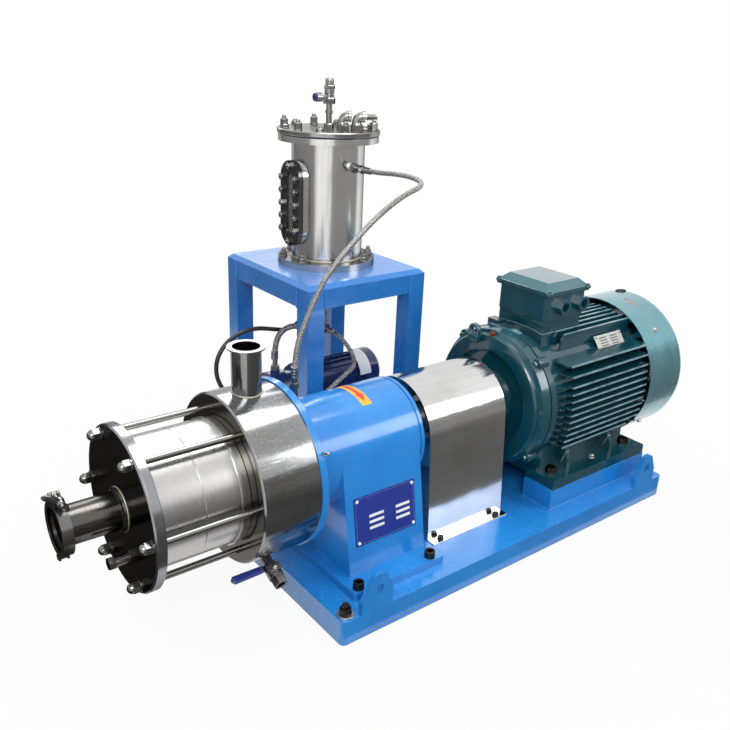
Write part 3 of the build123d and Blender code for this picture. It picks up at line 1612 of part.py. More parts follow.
def release_ring():
    # the push-in fitting's ring, pressed inwards to let the tube go
    x, y = lid_port_places()[0]
    z = lid_underside() + vessel_lid_plate + 76
    ring = rod_x(x - 45.5, x - 42, 10, y, z)
    ring = ring + rod_x(x - 42.5, x - 30, release_bore_radius - running_clearance, y, z)
    return ring - rod_x(x - 46, x - 29, 4, y, z)


def lid_elbows():
    pieces = []
    base = lid_underside() + vessel_lid_plate
    across = Vector(0.786, -0.618, 0)
    for x, y in lid_port_places()[1:]:
        socket = Pos(x, y, base) * hexagon(24, 14)
        riser = rod_z(base + 14, base + 40, 9, x, y)
        centre = Vector(x, y, base + 40)
        knee = Pos(x, y, base + 40) * Sphere(11)
        branch = upward(Plane(centre, z_dir=across), 9, 24)
        pieces.append(socket + riser + knee + branch)
    return pieces


# Circulation pump: a small motor and pump on the shelf


def circulation_height():
    return shelf_height + circulation_rise


def circulation_y():
    return stand_centre_y + circulation_offset


def circulation_left():
    return stand_left - circulation_overhang


def circulation_motor_left():
    return circulation_left() + circulation_pump_length


def circulation_motor_right():
    return circulation_motor_left() + circulation_motor_length


def circulation_pump():
    y = circulation_y()
    z = circulation_height()
    left = circulation_left()
    right = circulation_motor_left()
    radius = circulation_pump_radius
    casing = turned([
        (left, 0), (left, 16), (left + 12, 16), (left + 12, radius - 6), (left + 18, radius),
        (left + 66, radius), (left + 72, radius - 8), (right - 10, radius - 8),
        (right - 10, circulation_flange_radius), (right, circulation_flange_radius), (right, 0),
    ], y, z)
    port = rod_z(z, pump_top(), circulation_port_radius, pump_port_x(), y)
    foot = block(left + 30, left + 60, y - 40, y + 40, shelf_height, z - 30)
    casing = casing + port + foot
    cavity = rod_x(left + 20, left + 60, circulation_pump_radius - 10, y, z)
    bore = rod_x(left + 59, right + 1, circulation_shaft_radius + bolt_clearance, y, z)
    casing = casing - cavity - bore - rod_x(left - 1, left + 21, circulation_inlet_bore, y, z)
    return casing - rod_z(z + 30, pump_top() + 1, circulation_port_bore, pump_port_x(), y)


def circulation_rotor():
    # impeller, shaft, rotor and fan in one turning piece
    y = circulation_y()
    z = circulation_height()
    left = circulation_left()
    core_left = circulation_motor_left() + 40
    core_right = circulation_motor_right() - 75
    fan = circulation_motor_right() + 25
    journal = circulation_shaft_radius
    return turned([
        (left + 26, 0), (left + 26, 20), (left + 34, circulation_wheel_radius),
        (left + 54, circulation_wheel_radius), (left + 54, journal), (core_left, journal),
        (core_left, circulation_rotor_radius), (core_right, circulation_rotor_radius),
        (core_right, journal), (fan, journal), (fan, 14), (fan + 3, 48), (fan + 8, 48), (fan + 8, 0),
    ], y, z)


def circulation_motor():
    y = circulation_y()
    z = circulation_height()
    start = circulation_motor_left()
    end = circulation_motor_right()
    radius = circulation_motor_radius
    flange = circulation_motor_flange_radius
    body = turned([
        (start, 0), (start, flange), (start + 8, flange), (start + 8, radius),
        (end - 8, radius), (end - 8, flange - 2), (end, flange - 2), (end, 0),
    ], y, z)
    for angle, _, _ in around_x(18, radius, 10):
        if -0.8 < math.sin(angle):
            turn = Pos((start + end) / 2, y, z) * Rot(math.degrees(angle), 0, 0)
            body = body + turn * Pos(0, radius + 2.5, 0) * Box(end - start - 16, 10, 3)
    foot = block(start + 40, end - 60, y - 60, y + 60, shelf_height, shelf_height + 9)
    web = block(start + 50, end - 70, y - 30, y + 30, shelf_height + 5, z - 40)
    body = body + foot + web
    body = body - rod_x(start - 1, end + 1, circulation_shaft_radius + running_clearance, y, z)
    return body - rod_x(start + 20, end - 20, circulation_rotor_radius + 2, y, z)


def circulation_cowl():
    y = circulation_y()
    z = circulation_height()
    start = circulation_motor_right()
    end = start + circulation_cowl_length
    outer = circulation_motor_flange_radius
    return turned([
        (start, outer - 6), (start, outer), (end - 10, outer), (end, outer - 10), (end, 12),
        (end - 2, 12), (end - 2, outer - 11), (end - 11, outer - 2), (start + 4, outer - 2),
        (start + 4, outer - 6),
    ], y, z)


# Hoses: their routes are lists of points, each hose ends face to face with its fitting


return_hose_route = [
    (-107, 301, 859), (-107, 256, 859), (-107.5, 198, 865), (-107.5, 134, 868), (-113, 84, 864),
    (-142, 50, 858), (-204, 28, 850), (-256, 18, 830), (-303, 14, 803), (-347, 12, 769), (-389, 10, 735),
    (-432, 8, 690), (-467, 5, 632), (-505, 0, 556), (-505, 0, 497),
]
seal_hose_route = [
    (-107, 440, 398), (-107, 400, 398), (-102, 361, 379), (-105, 321, 354), (-134, 283, 345),
    (-190, 250, 345), (-249, 214, 343), (-310, 179, 339), (-370, 154, 335),
    (-424, 143, 333), (-476, 143, 333),
]
drop_hose_route = [
    (-107, 462.5, 566), (-107, 462.5, 532), (-105, 461, 495), (-107, 462.5, 456), (-107, 462.5, 418),
]
delivery_hose_route = [
    (-262, 479, 330), (-262, 479, 385), (-225, 478.5, 419), (-177, 470, 414), (-128, 462.5, 398),
]
suction_hose_route = [
    (-330, 479, 238), (-375, 479, 238), (-416, 485, 262), (-436, 492, 308), (-431, 498, 357),
    (-398, 502, 398), (-352, 503, 417), (-304, 503, 421), (-258, 502, 410), (-211, 500, 399),
    (-166, 500.5, 415), (-149, 500.5, 458), (-146, 500.5, 506), (-146, 500.5, 562),
]


def fitted(route, start, end):
    # the whole route moved so that it begins and ends at its fittings, the shift shared along it
    first = Vector(*start) - Vector(*route[0])
    last = Vector(*end) - Vector(*route[-1])
    points = []
    for index, point in enumerate(route):
        share = min(1.0, max(0.0, (index - 1) / (len(route) - 3)))
        points.append(Vector(*point) + first * (1 - share) + last * share)
    return points


def hose(name, points, diameter):
    radii = []
    for before, here, after in zip(points, points[1:], points[2:]):
        first = here - before
        second = after - here
        turn = math.radians(first.get_angle(second))
        radii.append(0.45 * min(first.length, second.length) / math.tan(turn / 2))
    path = FilletPolyline(*points, radius=radii)
    tube = sweep(Plane(points[0], z_dir=points[1] - points[0]) * Circle(diameter / 2), path)
    section = math.pi * diameter ** 2 / 4
    print(name, "length", round(path.length, 1), "radii", [round(radius) for radius in radii])
    print(name, "volume", round(tube.volume), "section times length", round(section * path.length))
    return tube


# Where each hose meets its fittings


def pump_port_x():
    return circulation_left() + circulation_port_setback


def pump_top():
    return circulation_height() + circulation_port_rise


def tee_height():
    return vessel_bottom - tee_drop


def side_port_face():
    return stand_centre_y - vessel_radius - 14.0


def return_hose_points():
    start = (vessel_x(), side_port_face() - side_fitting_reach, side_port_height())
    end = (seal_port_x(), 0, shaft_height + housing_radius + top_fitting_reach)
    return fitted(return_hose_route, start, end)


def seal_hose_points():
    start = (vessel_x(), stand_centre_y - 22.5, tee_height())
    end = (seal_port_x() + back_fitting_reach, housing_radius + 22.0, shaft_height + seal_port_rise)
    return fitted(seal_hose_route, start, end)


def drop_hose_points():
    start = (*vessel_drain_place(), vessel_bottom - drain_fitting_reach)
    return fitted(drop_hose_route, start, (*vessel_drain_place(), tee_height() + 20.0))


def delivery_hose_points():
    start = (pump_port_x(), circulation_y(), pump_top() + pump_fitting_reach)
    return fitted(delivery_hose_route, start, (vessel_x() - 21.0, stand_centre_y, tee_height()))


def suction_hose_points():
    start = (circulation_left() - inlet_fitting_reach, circulation_y(), circulation_height())
    return fitted(suction_hose_route, start, (*vessel_suction_place(), vessel_bottom - suction_fitting_reach))


def tail(point, direction, reach, radius):
    # a round hose tail that ends face to face with the hose at point, and points along direction
    along = Vector(*direction).normalized()
    start = Vector(*point) - along * reach
    return upward(Plane(start, z_dir=along), radius, reach)


def hex_nut(point, direction, flats, height):
    return Plane(Vector(*point), z_dir=Vector(*direction)) * hexagon(flats, height)


def vessel_side_fitting():
    start = return_hose_points()[0]
    port_face = side_port_face()
    stem = rod_y(start.Y, port_face, 7, start.X, start.Z)
    stem = stem + hex_nut((start.X, port_face, start.Z), (0, -1, 0), 22, 16)
    return stem + hex_nut((start.X, start.Y + 18, start.Z), (0, -1, 0), 18, 12)


def housing_top_fitting():
    top = return_hose_points()[-1]
    seat = shaft_height + housing_radius
    stem = rod_z(seat - 10, top.Z, valve_bore_radius - 0.1, top.X, top.Y)
    stem = stem + hex_nut((top.X, top.Y, seat), (0, 0, 1), 20, 14)
    return stem + hex_nut((top.X, top.Y, top.Z - 22), (0, 0, 1), 18, 10)


def housing_back_fitting():
    # an elbow screwed into the back of the housing
    end = seal_hose_points()[-1]
    elbow = Pos(seal_port_x(), end.Y, end.Z) * Box(19, 19, 19)
    stem = rod_y(housing_radius - 8, end.Y, valve_bore_radius - 0.1, seal_port_x(), end.Z)
    return elbow + stem + rod_x(seal_port_x(), end.X, 7, end.Y, end.Z)


def vessel_fitting(end):
    stem = rod_z(end.Z, vessel_bottom, 7, end.X, end.Y)
    return stem + hex_nut((end.X, end.Y, end.Z + 6), (0, 0, 1), 18, 12)


def hose_tee():
    # joins the pump's delivery, the vessel's drain and the hose to the seal
    drop_end = drop_hose_points()[-1]
    seal_start = seal_hose_points()[0]
    delivery = delivery_hose_points()
    x = drop_end.X
    y = drop_end.Y
    z = seal_start.Z
    tee = Pos(x, y, z) * Box(21, 21, 21)
    tee = tee + rod_z(z, drop_end.Z, 7, x, y) + rod_y(seal_start.Y, y, 7, x, z)
    return tee + tail(delivery[-1], delivery[-2] - delivery[-1], 16, 8)


def pump_inlet_fitting():
    start = suction_hose_points()[0]
    left = circulation_left()
    stem = rod_x(start.X, left + 6, 7.9, start.Y, start.Z)
    return stem + hex_nut((left, start.Y, start.Z), (-1, 0, 0), 20, 12)


def pump_outlet_fitting():
    start = delivery_hose_points()[0]
    stem = rod_z(pump_top() - 6, start.Z, 6.9, start.X, start.Y)
    return stem + hex_nut((start.X, start.Y, pump_top()), (0, 0, 1), 24, 12)


def hose_fittings():
    return [
        vessel_side_fitting(), housing_top_fitting(), housing_back_fitting(),
        vessel_fitting(drop_hose_points()[0]), vessel_fitting(suction_hose_points()[-1]),
        hose_tee(), pump_inlet_fitting(), pump_outlet_fitting(),
    ]


os.makedirs("parts", exist_ok=True)

save("base_skid", *skid_pan(), *skid_ribs(), *lifting_lugs(), *motor_rails())
save("foot_bolts", *foot_bolts())
save("bearing_pedestal", bearing_pedestal())
save("pedestal_screws", *pedestal_screws())
save("bearing_cover", bearing_cover())
save("bearings", *pump_bearings(), *motor_bearings())
save("pump_shaft", pump_shaft())
save("seal_stationary", seal_stationary())
save("seal_rotating", seal_rotating())
save("pump_casing", pump_casing())
save("rear_stage_casing", stage_casing(second_stage_front, True))
save("front_stage_casing", stage_casing(first_stage_front, False))
save("front_plate", front_plate())
save("plate_port", plate_port())
save("tie_rods", *tie_rods())
save("rotors", rotor(first_stage_front), rotor(second_stage_front))
save("stators", stator(first_stage_front), stator(second_stage_front))
save("clamp_back_half", clamp_back_half())
save("clamp_front_half", clamp_front_half())
save("clamp_swing_bolt", clamp_swing_bolt())
save("drain_valve_body", drain_valve_body())
save("drain_lever", drain_ball(), drain_lever())
save("lever_sleeve", lever_sleeve())
save("coupling_hubs", coupling_pump_hub(), coupling_motor_hub())
save("coupling_spider", coupling_spider())
save("coupling_guard", coupling_guard())
save("guard_bolts", *guard_bolts())
save("motor_frame", motor_frame())
save("drive_end_shield", drive_end_shield())
save("rear_end_shield", rear_end_shield(), *cowl_carriers())
save("motor_stator", motor_stator())
save("motor_rotor", motor_rotor())
save("motor_fan", motor_fan())
save("fan_cowl", fan_cowl())
save("terminal_box", terminal_box())
save("terminal_lid", terminal_lid())
save("nameplates", *nameplates())
save("stand_frame", *stand_frame())
save("stand_top", stand_top())
save("stand_bolts", *stand_bolts())
save("vessel_shell", *vessel_shell())
save("vessel_gasket", vessel_gasket_ring())
save("vessel_lid", vessel_lid())
save("vessel_bolts", *vessel_bolts())
save("sight_pane", sight_pane())
save("sight_cover", sight_glass_cover())
save("sight_bolts", *sight_bolts())
save("filling_valve", filling_valve())
save("valve_knob", valve_knob())
save("release_ring", release_ring())
save("lid_elbows", *lid_elbows())
save("circulation_pump", circulation_pump())
save("circulation_motor", circulation_motor(), circulation_cowl())
save("circulation_rotor", circulation_rotor())
save("hose_fittings", *hose_fittings())
save("return_hose", hose("return_hose", return_hose_points(), braided_hose_diameter))
save("seal_hose", hose("seal_hose", seal_hose_points(), braided_hose_diameter))
save("drop_hose", hose("drop_hose", drop_hose_points(), braided_hose_diameter))
save("delivery_hose", hose("delivery_hose", delivery_hose_points(), delivery_hose_diameter))
save("suction_hose", hose("suction_hose", suction_hose_points(), braided_hose_diameter))
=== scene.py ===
import json
import math

import bmesh
import bpy
from mathutils import Matrix, Vector


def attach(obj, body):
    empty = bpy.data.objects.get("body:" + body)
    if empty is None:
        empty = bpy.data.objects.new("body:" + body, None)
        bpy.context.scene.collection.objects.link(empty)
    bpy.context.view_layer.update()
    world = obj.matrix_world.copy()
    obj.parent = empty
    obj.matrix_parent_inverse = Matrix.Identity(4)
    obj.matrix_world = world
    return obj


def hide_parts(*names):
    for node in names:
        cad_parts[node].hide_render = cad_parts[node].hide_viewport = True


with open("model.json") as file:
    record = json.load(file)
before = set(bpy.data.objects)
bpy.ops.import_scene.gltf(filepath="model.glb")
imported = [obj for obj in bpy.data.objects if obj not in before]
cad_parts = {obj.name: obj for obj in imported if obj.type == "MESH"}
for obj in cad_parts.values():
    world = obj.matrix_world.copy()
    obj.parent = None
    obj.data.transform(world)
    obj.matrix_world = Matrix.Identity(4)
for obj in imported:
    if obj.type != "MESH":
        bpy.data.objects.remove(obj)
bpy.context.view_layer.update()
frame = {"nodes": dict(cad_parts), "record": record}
scene = bpy.context.scene
nodes = frame["nodes"]
shaftHeight = 0.312

cameraSettings = {
    "place": (-1.3455, -1.3055, 1.1404),
    "yaw": -38.17,
    "elevation": 21.53,
    "roll": 2.348,
    "lens": 39.56,
    "sensor": 36.0,
}


def makeCamera(settings):
    yaw = math.radians(settings["yaw"])
    elevation = math.radians(settings["elevation"])
    roll = math.radians(settings["roll"])
    back = Vector((math.sin(yaw) * math.cos(elevation), -math.cos(yaw) * math.cos(elevation),
                   math.sin(elevation)))
    level = Vector((math.cos(yaw), math.sin(yaw), 0))
    upright = back.cross(level)
    right = level * math.cos(roll) + upright * math.sin(roll)
    up = upright * math.cos(roll) - level * math.sin(roll)
    data = bpy.data.cameras.new("photoCamera")
    data.lens = settings["lens"]
    data.sensor_width = settings["sensor"]
    data.clip_end = 60
    camera = bpy.data.objects.new("photoCamera", data)
    turned = Matrix((right, up, back)).transposed().to_4x4()
    camera.matrix_world = Matrix.Translation(settings["place"]) @ turned
    scene.collection.objects.link(camera)
    scene.camera = camera


makeCamera(cameraSettings)
print("camera made")


# small helpers for node trees

def addNode(tree, kind, inputs=None, **settings):
    made = tree.nodes.new(kind)
    for name, value in settings.items():
        setattr(made, name, value)
    for name, value in (inputs or {}).items():
        if isinstance(value, bpy.types.NodeSocket):
            tree.links.new(value, made.inputs[name])
        else:
            made.inputs[name].default_value = value
    return made


def math2(tree, operation, a, b=0.0):
    return addNode(tree, "ShaderNodeMath", {0: a, 1: b}, operation=operation).outputs[0]


def noise(tree, place, scale, detail=3.0, roughness=0.5):
    inputs = {"Vector": place, "Scale": scale, "Detail": detail, "Roughness": roughness}
    return addNode(tree, "ShaderNodeTexNoise", inputs).outputs["Fac"]


def remap(tree, value, low, high, newLow, newHigh):
    inputs = {"Value": value, "From Min": low, "From Max": high, "To Min": newLow, "To Max": newHigh}
    return addNode(tree, "ShaderNodeMapRange", inputs, clamp=True).outputs["Result"]


def mixColour(tree, factor, first, second, mode="MIX"):
    made = addNode(tree, "ShaderNodeMix", data_type="RGBA", blend_type=mode)
    for index, value in ((0, factor), (6, first), (7, second)):
        if isinstance(value, bpy.types.NodeSocket):
            tree.links.new(value, made.inputs[index])
        elif index == 0:
            made.inputs[index].default_value = value
        else:
            made.inputs[index].default_value = (*value, 1.0)
    return made.outputs[2]


def bump(tree, height, strength, distance, normal):
    inputs = {"Height": height, "Strength": strength, "Distance": distance, "Normal": normal}
    return addNode(tree, "ShaderNodeBump", inputs).outputs["Normal"]


def edgeNormal(tree, radius):
    return addNode(tree, "ShaderNodeBevel", {"Radius": radius}, samples=4).outputs["Normal"]


def edgeMask(tree, rounded):
    # one along sharp edges, nothing on flat faces
    flat = addNode(tree, "ShaderNodeNewGeometry").outputs["Normal"]
    same = addNode(tree, "ShaderNodeVectorMath", {0: rounded, 1: flat},
                   operation="DOT_PRODUCT").outputs["Value"]
    return remap(tree, same, 0.72, 0.97, 1.0, 0.0)


def axes(tree, place):
    return addNode(tree, "ShaderNodeSeparateXYZ", {0: place}).outputs


def emptyMaterial(name):
    material = bpy.data.materials.new(name)
    material.use_nodes = True
    material.node_tree.nodes.clear()
    return material, material.node_tree


def newMaterial(name):
    material, tree = emptyMaterial(name)
    shader = addNode(tree, "ShaderNodeBsdfPrincipled")
    addNode(tree, "ShaderNodeOutputMaterial", {"Surface": shader.outputs["BSDF"]})
    place = addNode(tree, "ShaderNodeTexCoord").outputs["Object"]
    return material, tree, shader, place


def stretched(tree, place, scale, turn=(0.0, 0.0, 0.0)):
    return addNode(tree, "ShaderNodeMapping",
                   {"Vector": place, "Rotation": turn, "Scale": scale}).outputs["Vector"]


# paints

paintSettings = {
    "skidBlue": {"colour": (0.013, 0.222, 0.610), "shade": (0.010, 0.180, 0.535),
                 "dust": (0.26, 0.40, 0.52), "roughness": 0.22, "peel": 0.10, "coat": 0.5, "edgeWearAndHighlight": 0.30},
    "standBlue": {"colour": (0.020, 0.190, 0.560), "shade": (0.014, 0.150, 0.480),
                  "dust": (0.26, 0.38, 0.48), "roughness": 0.25, "peel": 0.12, "coat": 0.4, "edgeWearAndHighlight": 0.30},
    "motorGreen": {"colour": (0.0030, 0.062, 0.084), "shade": (0.0022, 0.045, 0.064),
                   "dust": (0.06, 0.13, 0.16), "roughness": 0.20, "peel": 0.34, "coat": 0.90, "edgeWearAndHighlight": 0.60},
    "finGreen": {"colour": (0.0030, 0.055, 0.076), "shade": (0.0022, 0.042, 0.060),
                 "dust": (0.06, 0.13, 0.16), "roughness": 0.20, "peel": 0.34, "coat": 0.90, "edgeWearAndHighlight": 0.95,
                 "bareAndLitEdge": (0.22, 0.36, 0.41),
                 "tipHighlight": {"reach": 0.186, "topReach": 0.182, "curve": 0.8, "lowest": 0.150}},
    # a paler, partly metallic copy of the motor's green: a painted sheen on the glossy terminal lid
    "lidSheenGreen": {"colour": (0.070, 0.190, 0.225), "shade": (0.045, 0.150, 0.180),
                 "dust": (0.20, 0.32, 0.35), "roughness": 0.13, "peel": 0.10, "coat": 1.0, "edgeWearAndHighlight": 0.60,
                 "metallic": 0.70},
    # a much paler, mostly metallic copy of the motor's green: a painted sheen on the fan cowl
    "cowlSheenGreen": {"colour": (0.160, 0.370, 0.425), "shade": (0.120, 0.310, 0.365),
                  "dust": (0.20, 0.32, 0.35), "roughness": 0.26, "peel": 0.20, "coat": 0.6, "edgeWearAndHighlight": 0.40,
                  "metallic": 0.75},
    "smallMotorBlue": {"colour": (0.006, 0.022, 0.120), "shade": (0.004, 0.015, 0.085),
                       "dust": (0.06, 0.09, 0.15), "roughness": 0.28, "peel": 0.25, "coat": 0.4,
                       "edgeWearAndHighlight": 0.20},
}


def finTipHighlight(tree, place, settings):
    # one on the fins' outer edges, where the paint is thin; the paler colour drawn there is also a painted
    # highlight
    parts = axes(tree, place)
    height = math2(tree, "SUBTRACT", parts["Z"], shaftHeight)
    masks = []
    for reach, outward, along in ((settings["reach"], math2(tree, "ABSOLUTE", parts["Y"]), height),
                                  (settings["topReach"], height, parts["Y"])):
        drop = math2(tree, "DIVIDE", math2(tree, "MULTIPLY", along, along), settings["curve"])
        gap = math2(tree, "ABSOLUTE", math2(tree, "SUBTRACT", outward, math2(tree, "SUBTRACT", reach, drop)))
        masks.append(remap(tree, gap, 0.0008, 0.0016, 1.0, 0.0))
    both = math2(tree, "MAXIMUM", masks[0], masks[1])
    uneven = remap(tree, noise(tree, place, 34.0, 3.0), 0.30, 0.60, 0.35, 1.0)
    above = remap(tree, parts["Z"], settings["lowest"] - 0.001, settings["lowest"], 0.0, 1.0)
    return math2(tree, "MULTIPLY", math2(tree, "MULTIPLY", both, uneven), above)


def makePaint(name, settings):
    material, tree, shader, place = newMaterial(name)
    rounded = edgeNormal(tree, 0.0012)
    cloud = noise(tree, place, 9.0, 4.0)
    colour = mixColour(tree, remap(tree, cloud, 0.35, 0.7, 0.0, 1.0), settings["colour"], settings["shade"])
    facing = axes(tree, addNode(tree, "ShaderNodeNewGeometry").outputs["Normal"])["Z"]
    speck = remap(tree, noise(tree, place, 140.0, 5.0, 0.7), 0.52, 0.75, 0.0, 0.30)
    dusty = math2(tree, "MULTIPLY", speck, remap(tree, facing, 0.4, 1.0, 0.0, 1.0))
    colour = mixColour(tree, dusty, colour, settings["dust"])
    # edges drawn towards a paler copy of the paint: partly paint wear, partly a painted edge highlight
    wornAndLitEdges = math2(tree, "MULTIPLY", edgeMask(tree, rounded),
                 remap(tree, noise(tree, place, 60.0, 4.0), 0.45, 0.7, 0.0, settings["edgeWearAndHighlight"]))
    bareAndLitEdge = settings.get("bareAndLitEdge", tuple(min(1.0, c * 1.5 + 0.08) for c in settings["colour"]))
    colour = mixColour(tree, wornAndLitEdges, colour, bareAndLitEdge)
    # fin tips drawn paler: a painted highlight along them
    if "tipHighlight" in settings:
        colour = mixColour(tree, finTipHighlight(tree, place, settings["tipHighlight"]), colour, bareAndLitEdge)
    tree.links.new(colour, shader.inputs["Base Color"])
    smear = noise(tree, stretched(tree, place, (1.0, 1.0, 0.4)), 22.0, 5.0, 0.6)
    base = settings["roughness"]
    tree.links.new(remap(tree, smear, 0.3, 0.75, base * 0.7, base * 1.5), shader.inputs["Roughness"])
    peel = noise(tree, place, 420.0, 2.0)
    tree.links.new(bump(tree, peel, settings["peel"], 0.0006, rounded), shader.inputs["Normal"])
    shader.inputs["Metallic"].default_value = settings.get("metallic", 0.0)
    shader.inputs["Coat Weight"].default_value = settings["coat"]
    shader.inputs["Coat Roughness"].default_value = 0.07
    shader.inputs["IOR"].default_value = 1.5
    return material


# bare metals

metalSettings = {
    "turnedSteel": {"edge": 0.85, "colour": (0.560, 0.555, 0.545), "streak": "around",
                    "roughness": (0.24, 0.33), "bump": 0.02, "grain": 0.12, "stain": (0.470, 0.460, 0.440),
                    "scratches": 0.06},
    # front plate drawn far darker than bare stainless: a painted dark reflection; its rim is a painted
    # highlight
    "plateSteelDarkReflection": {"colour": (0.135, 0.128, 0.118), "streak": "around", "roughness": (0.10, 0.24),
                   "bump": 0.05, "stain": (0.085, 0.075, 0.062), "scratches": 0.20,
                   "rim": (0.1628, (0.330, 0.340, 0.355))},
    # drawn darker and a little bluer than bare stainless: a painted dim reflection
    "polishedSteelDarkReflection": {"edge": 0.70, "colour": (0.330, 0.340, 0.350), "streak": "around",
                      "roughness": (0.08, 0.20), "bump": 0.03, "stain": (0.235, 0.225, 0.205),
                      "scratches": 0.85, "waves": 0.20, "face": (-0.6828, (0.120, 0.110, 0.095))},
    "vesselSteel": {"edge": 0.25, "colour": (0.840, 0.840, 0.840), "streak": "upright",
                    "roughness": (0.13, 0.27), "bump": 0.05, "stain": (0.600, 0.590, 0.570),
                    "scratches": 0.25, "foot": (0.6125, (0.480, 0.480, 0.480))},
    "lidSteel": {"colour": (0.450, 0.452, 0.455), "roughness": (0.14, 0.26), "bump": 0.05,
                 "stain": (0.190, 0.186, 0.180), "scratches": 0.40},
    "mirrorSheet": {"edge": 0.80, "colour": (0.800, 0.805, 0.810), "streak": "level",
                    "roughness": (0.07, 0.17), "bump": 0.016, "stain": (0.520, 0.510, 0.495),
                    "scratches": 0.45, "waves": 0.40},
    "sightSteel": {"colour": (0.160, 0.158, 0.155), "roughness": (0.16, 0.32), "bump": 0.06,
                   "stain": (0.090, 0.085, 0.078), "scratches": 0.20},
    "clampSteel": {"colour": (0.215, 0.212, 0.208), "streak": "around", "roughness": (0.14, 0.28),
                   "bump": 0.05, "stain": (0.130, 0.120, 0.105), "scratches": 0.20},
    "nutSteel": {"edge": 0.10, "colour": (0.300, 0.295, 0.285), "roughness": (0.12, 0.24), "bump": 0.04,
                 "stain": (0.180, 0.165, 0.145)},
    "fittingSteel": {"edge": 0.0, "colour": (0.400, 0.400, 0.398), "roughness": (0.14, 0.28), "bump": 0.05,
                     "stain": (0.200, 0.192, 0.180)},
    "braidSteel": {"edge": 0.60, "colour": (0.400, 0.400, 0.398), "roughness": (0.20, 0.34), "bump": 0.05,
                   "stain": (0.200, 0.195, 0.185)},
    "machinedSteel": {"colour": (0.430, 0.430, 0.430), "streak": "around", "roughness": (0.22, 0.36),
                      "bump": 0.06, "stain": (0.330, 0.310, 0.290)},
    "zincSteel": {"colour": (0.560, 0.565, 0.550), "roughness": (0.24, 0.42), "bump": 0.08,
                  "stain": (0.420, 0.410, 0.370)},
    "darkSteel": {"colour": (0.050, 0.049, 0.048), "roughness": (0.28, 0.46), "bump": 0.12,
                  "stain": (0.110, 0.080, 0.060)},
    "weldSteel": {"colour": (0.520, 0.490, 0.430), "roughness": (0.20, 0.36), "bump": 0.10,
                  "stain": (0.300, 0.220, 0.130)},
    "rustSteel": {"colour": (0.260, 0.070, 0.025), "roughness": (0.50, 0.75), "bump": 0.30,
                  "stain": (0.140, 0.045, 0.020)},
}


def streakPlace(tree, place, kind):
    # a vector that changes quickly across the brush lines and slowly along them
    if kind == "around":
        parts = axes(tree, place)
        height = math2(tree, "SUBTRACT", parts["Z"], shaftHeight)
        reach = math2(tree, "SQRT", math2(tree, "ADD", math2(tree, "MULTIPLY", height, height),
                                          math2(tree, "MULTIPLY", parts["Y"], parts["Y"])))
        turn = math2(tree, "MULTIPLY", math2(tree, "ARCTAN2", height, parts["Y"]), 0.004)
        return addNode(tree, "ShaderNodeCombineXYZ", {0: parts["X"], 1: reach, 2: turn}).outputs[0]
    scale = {"upright": (1.0, 1.0, 0.02), "level": (0.03, 1.0, 1.0), "none": (1.0, 1.0, 1.0)}[kind]
    return stretched(tree, place, scale)


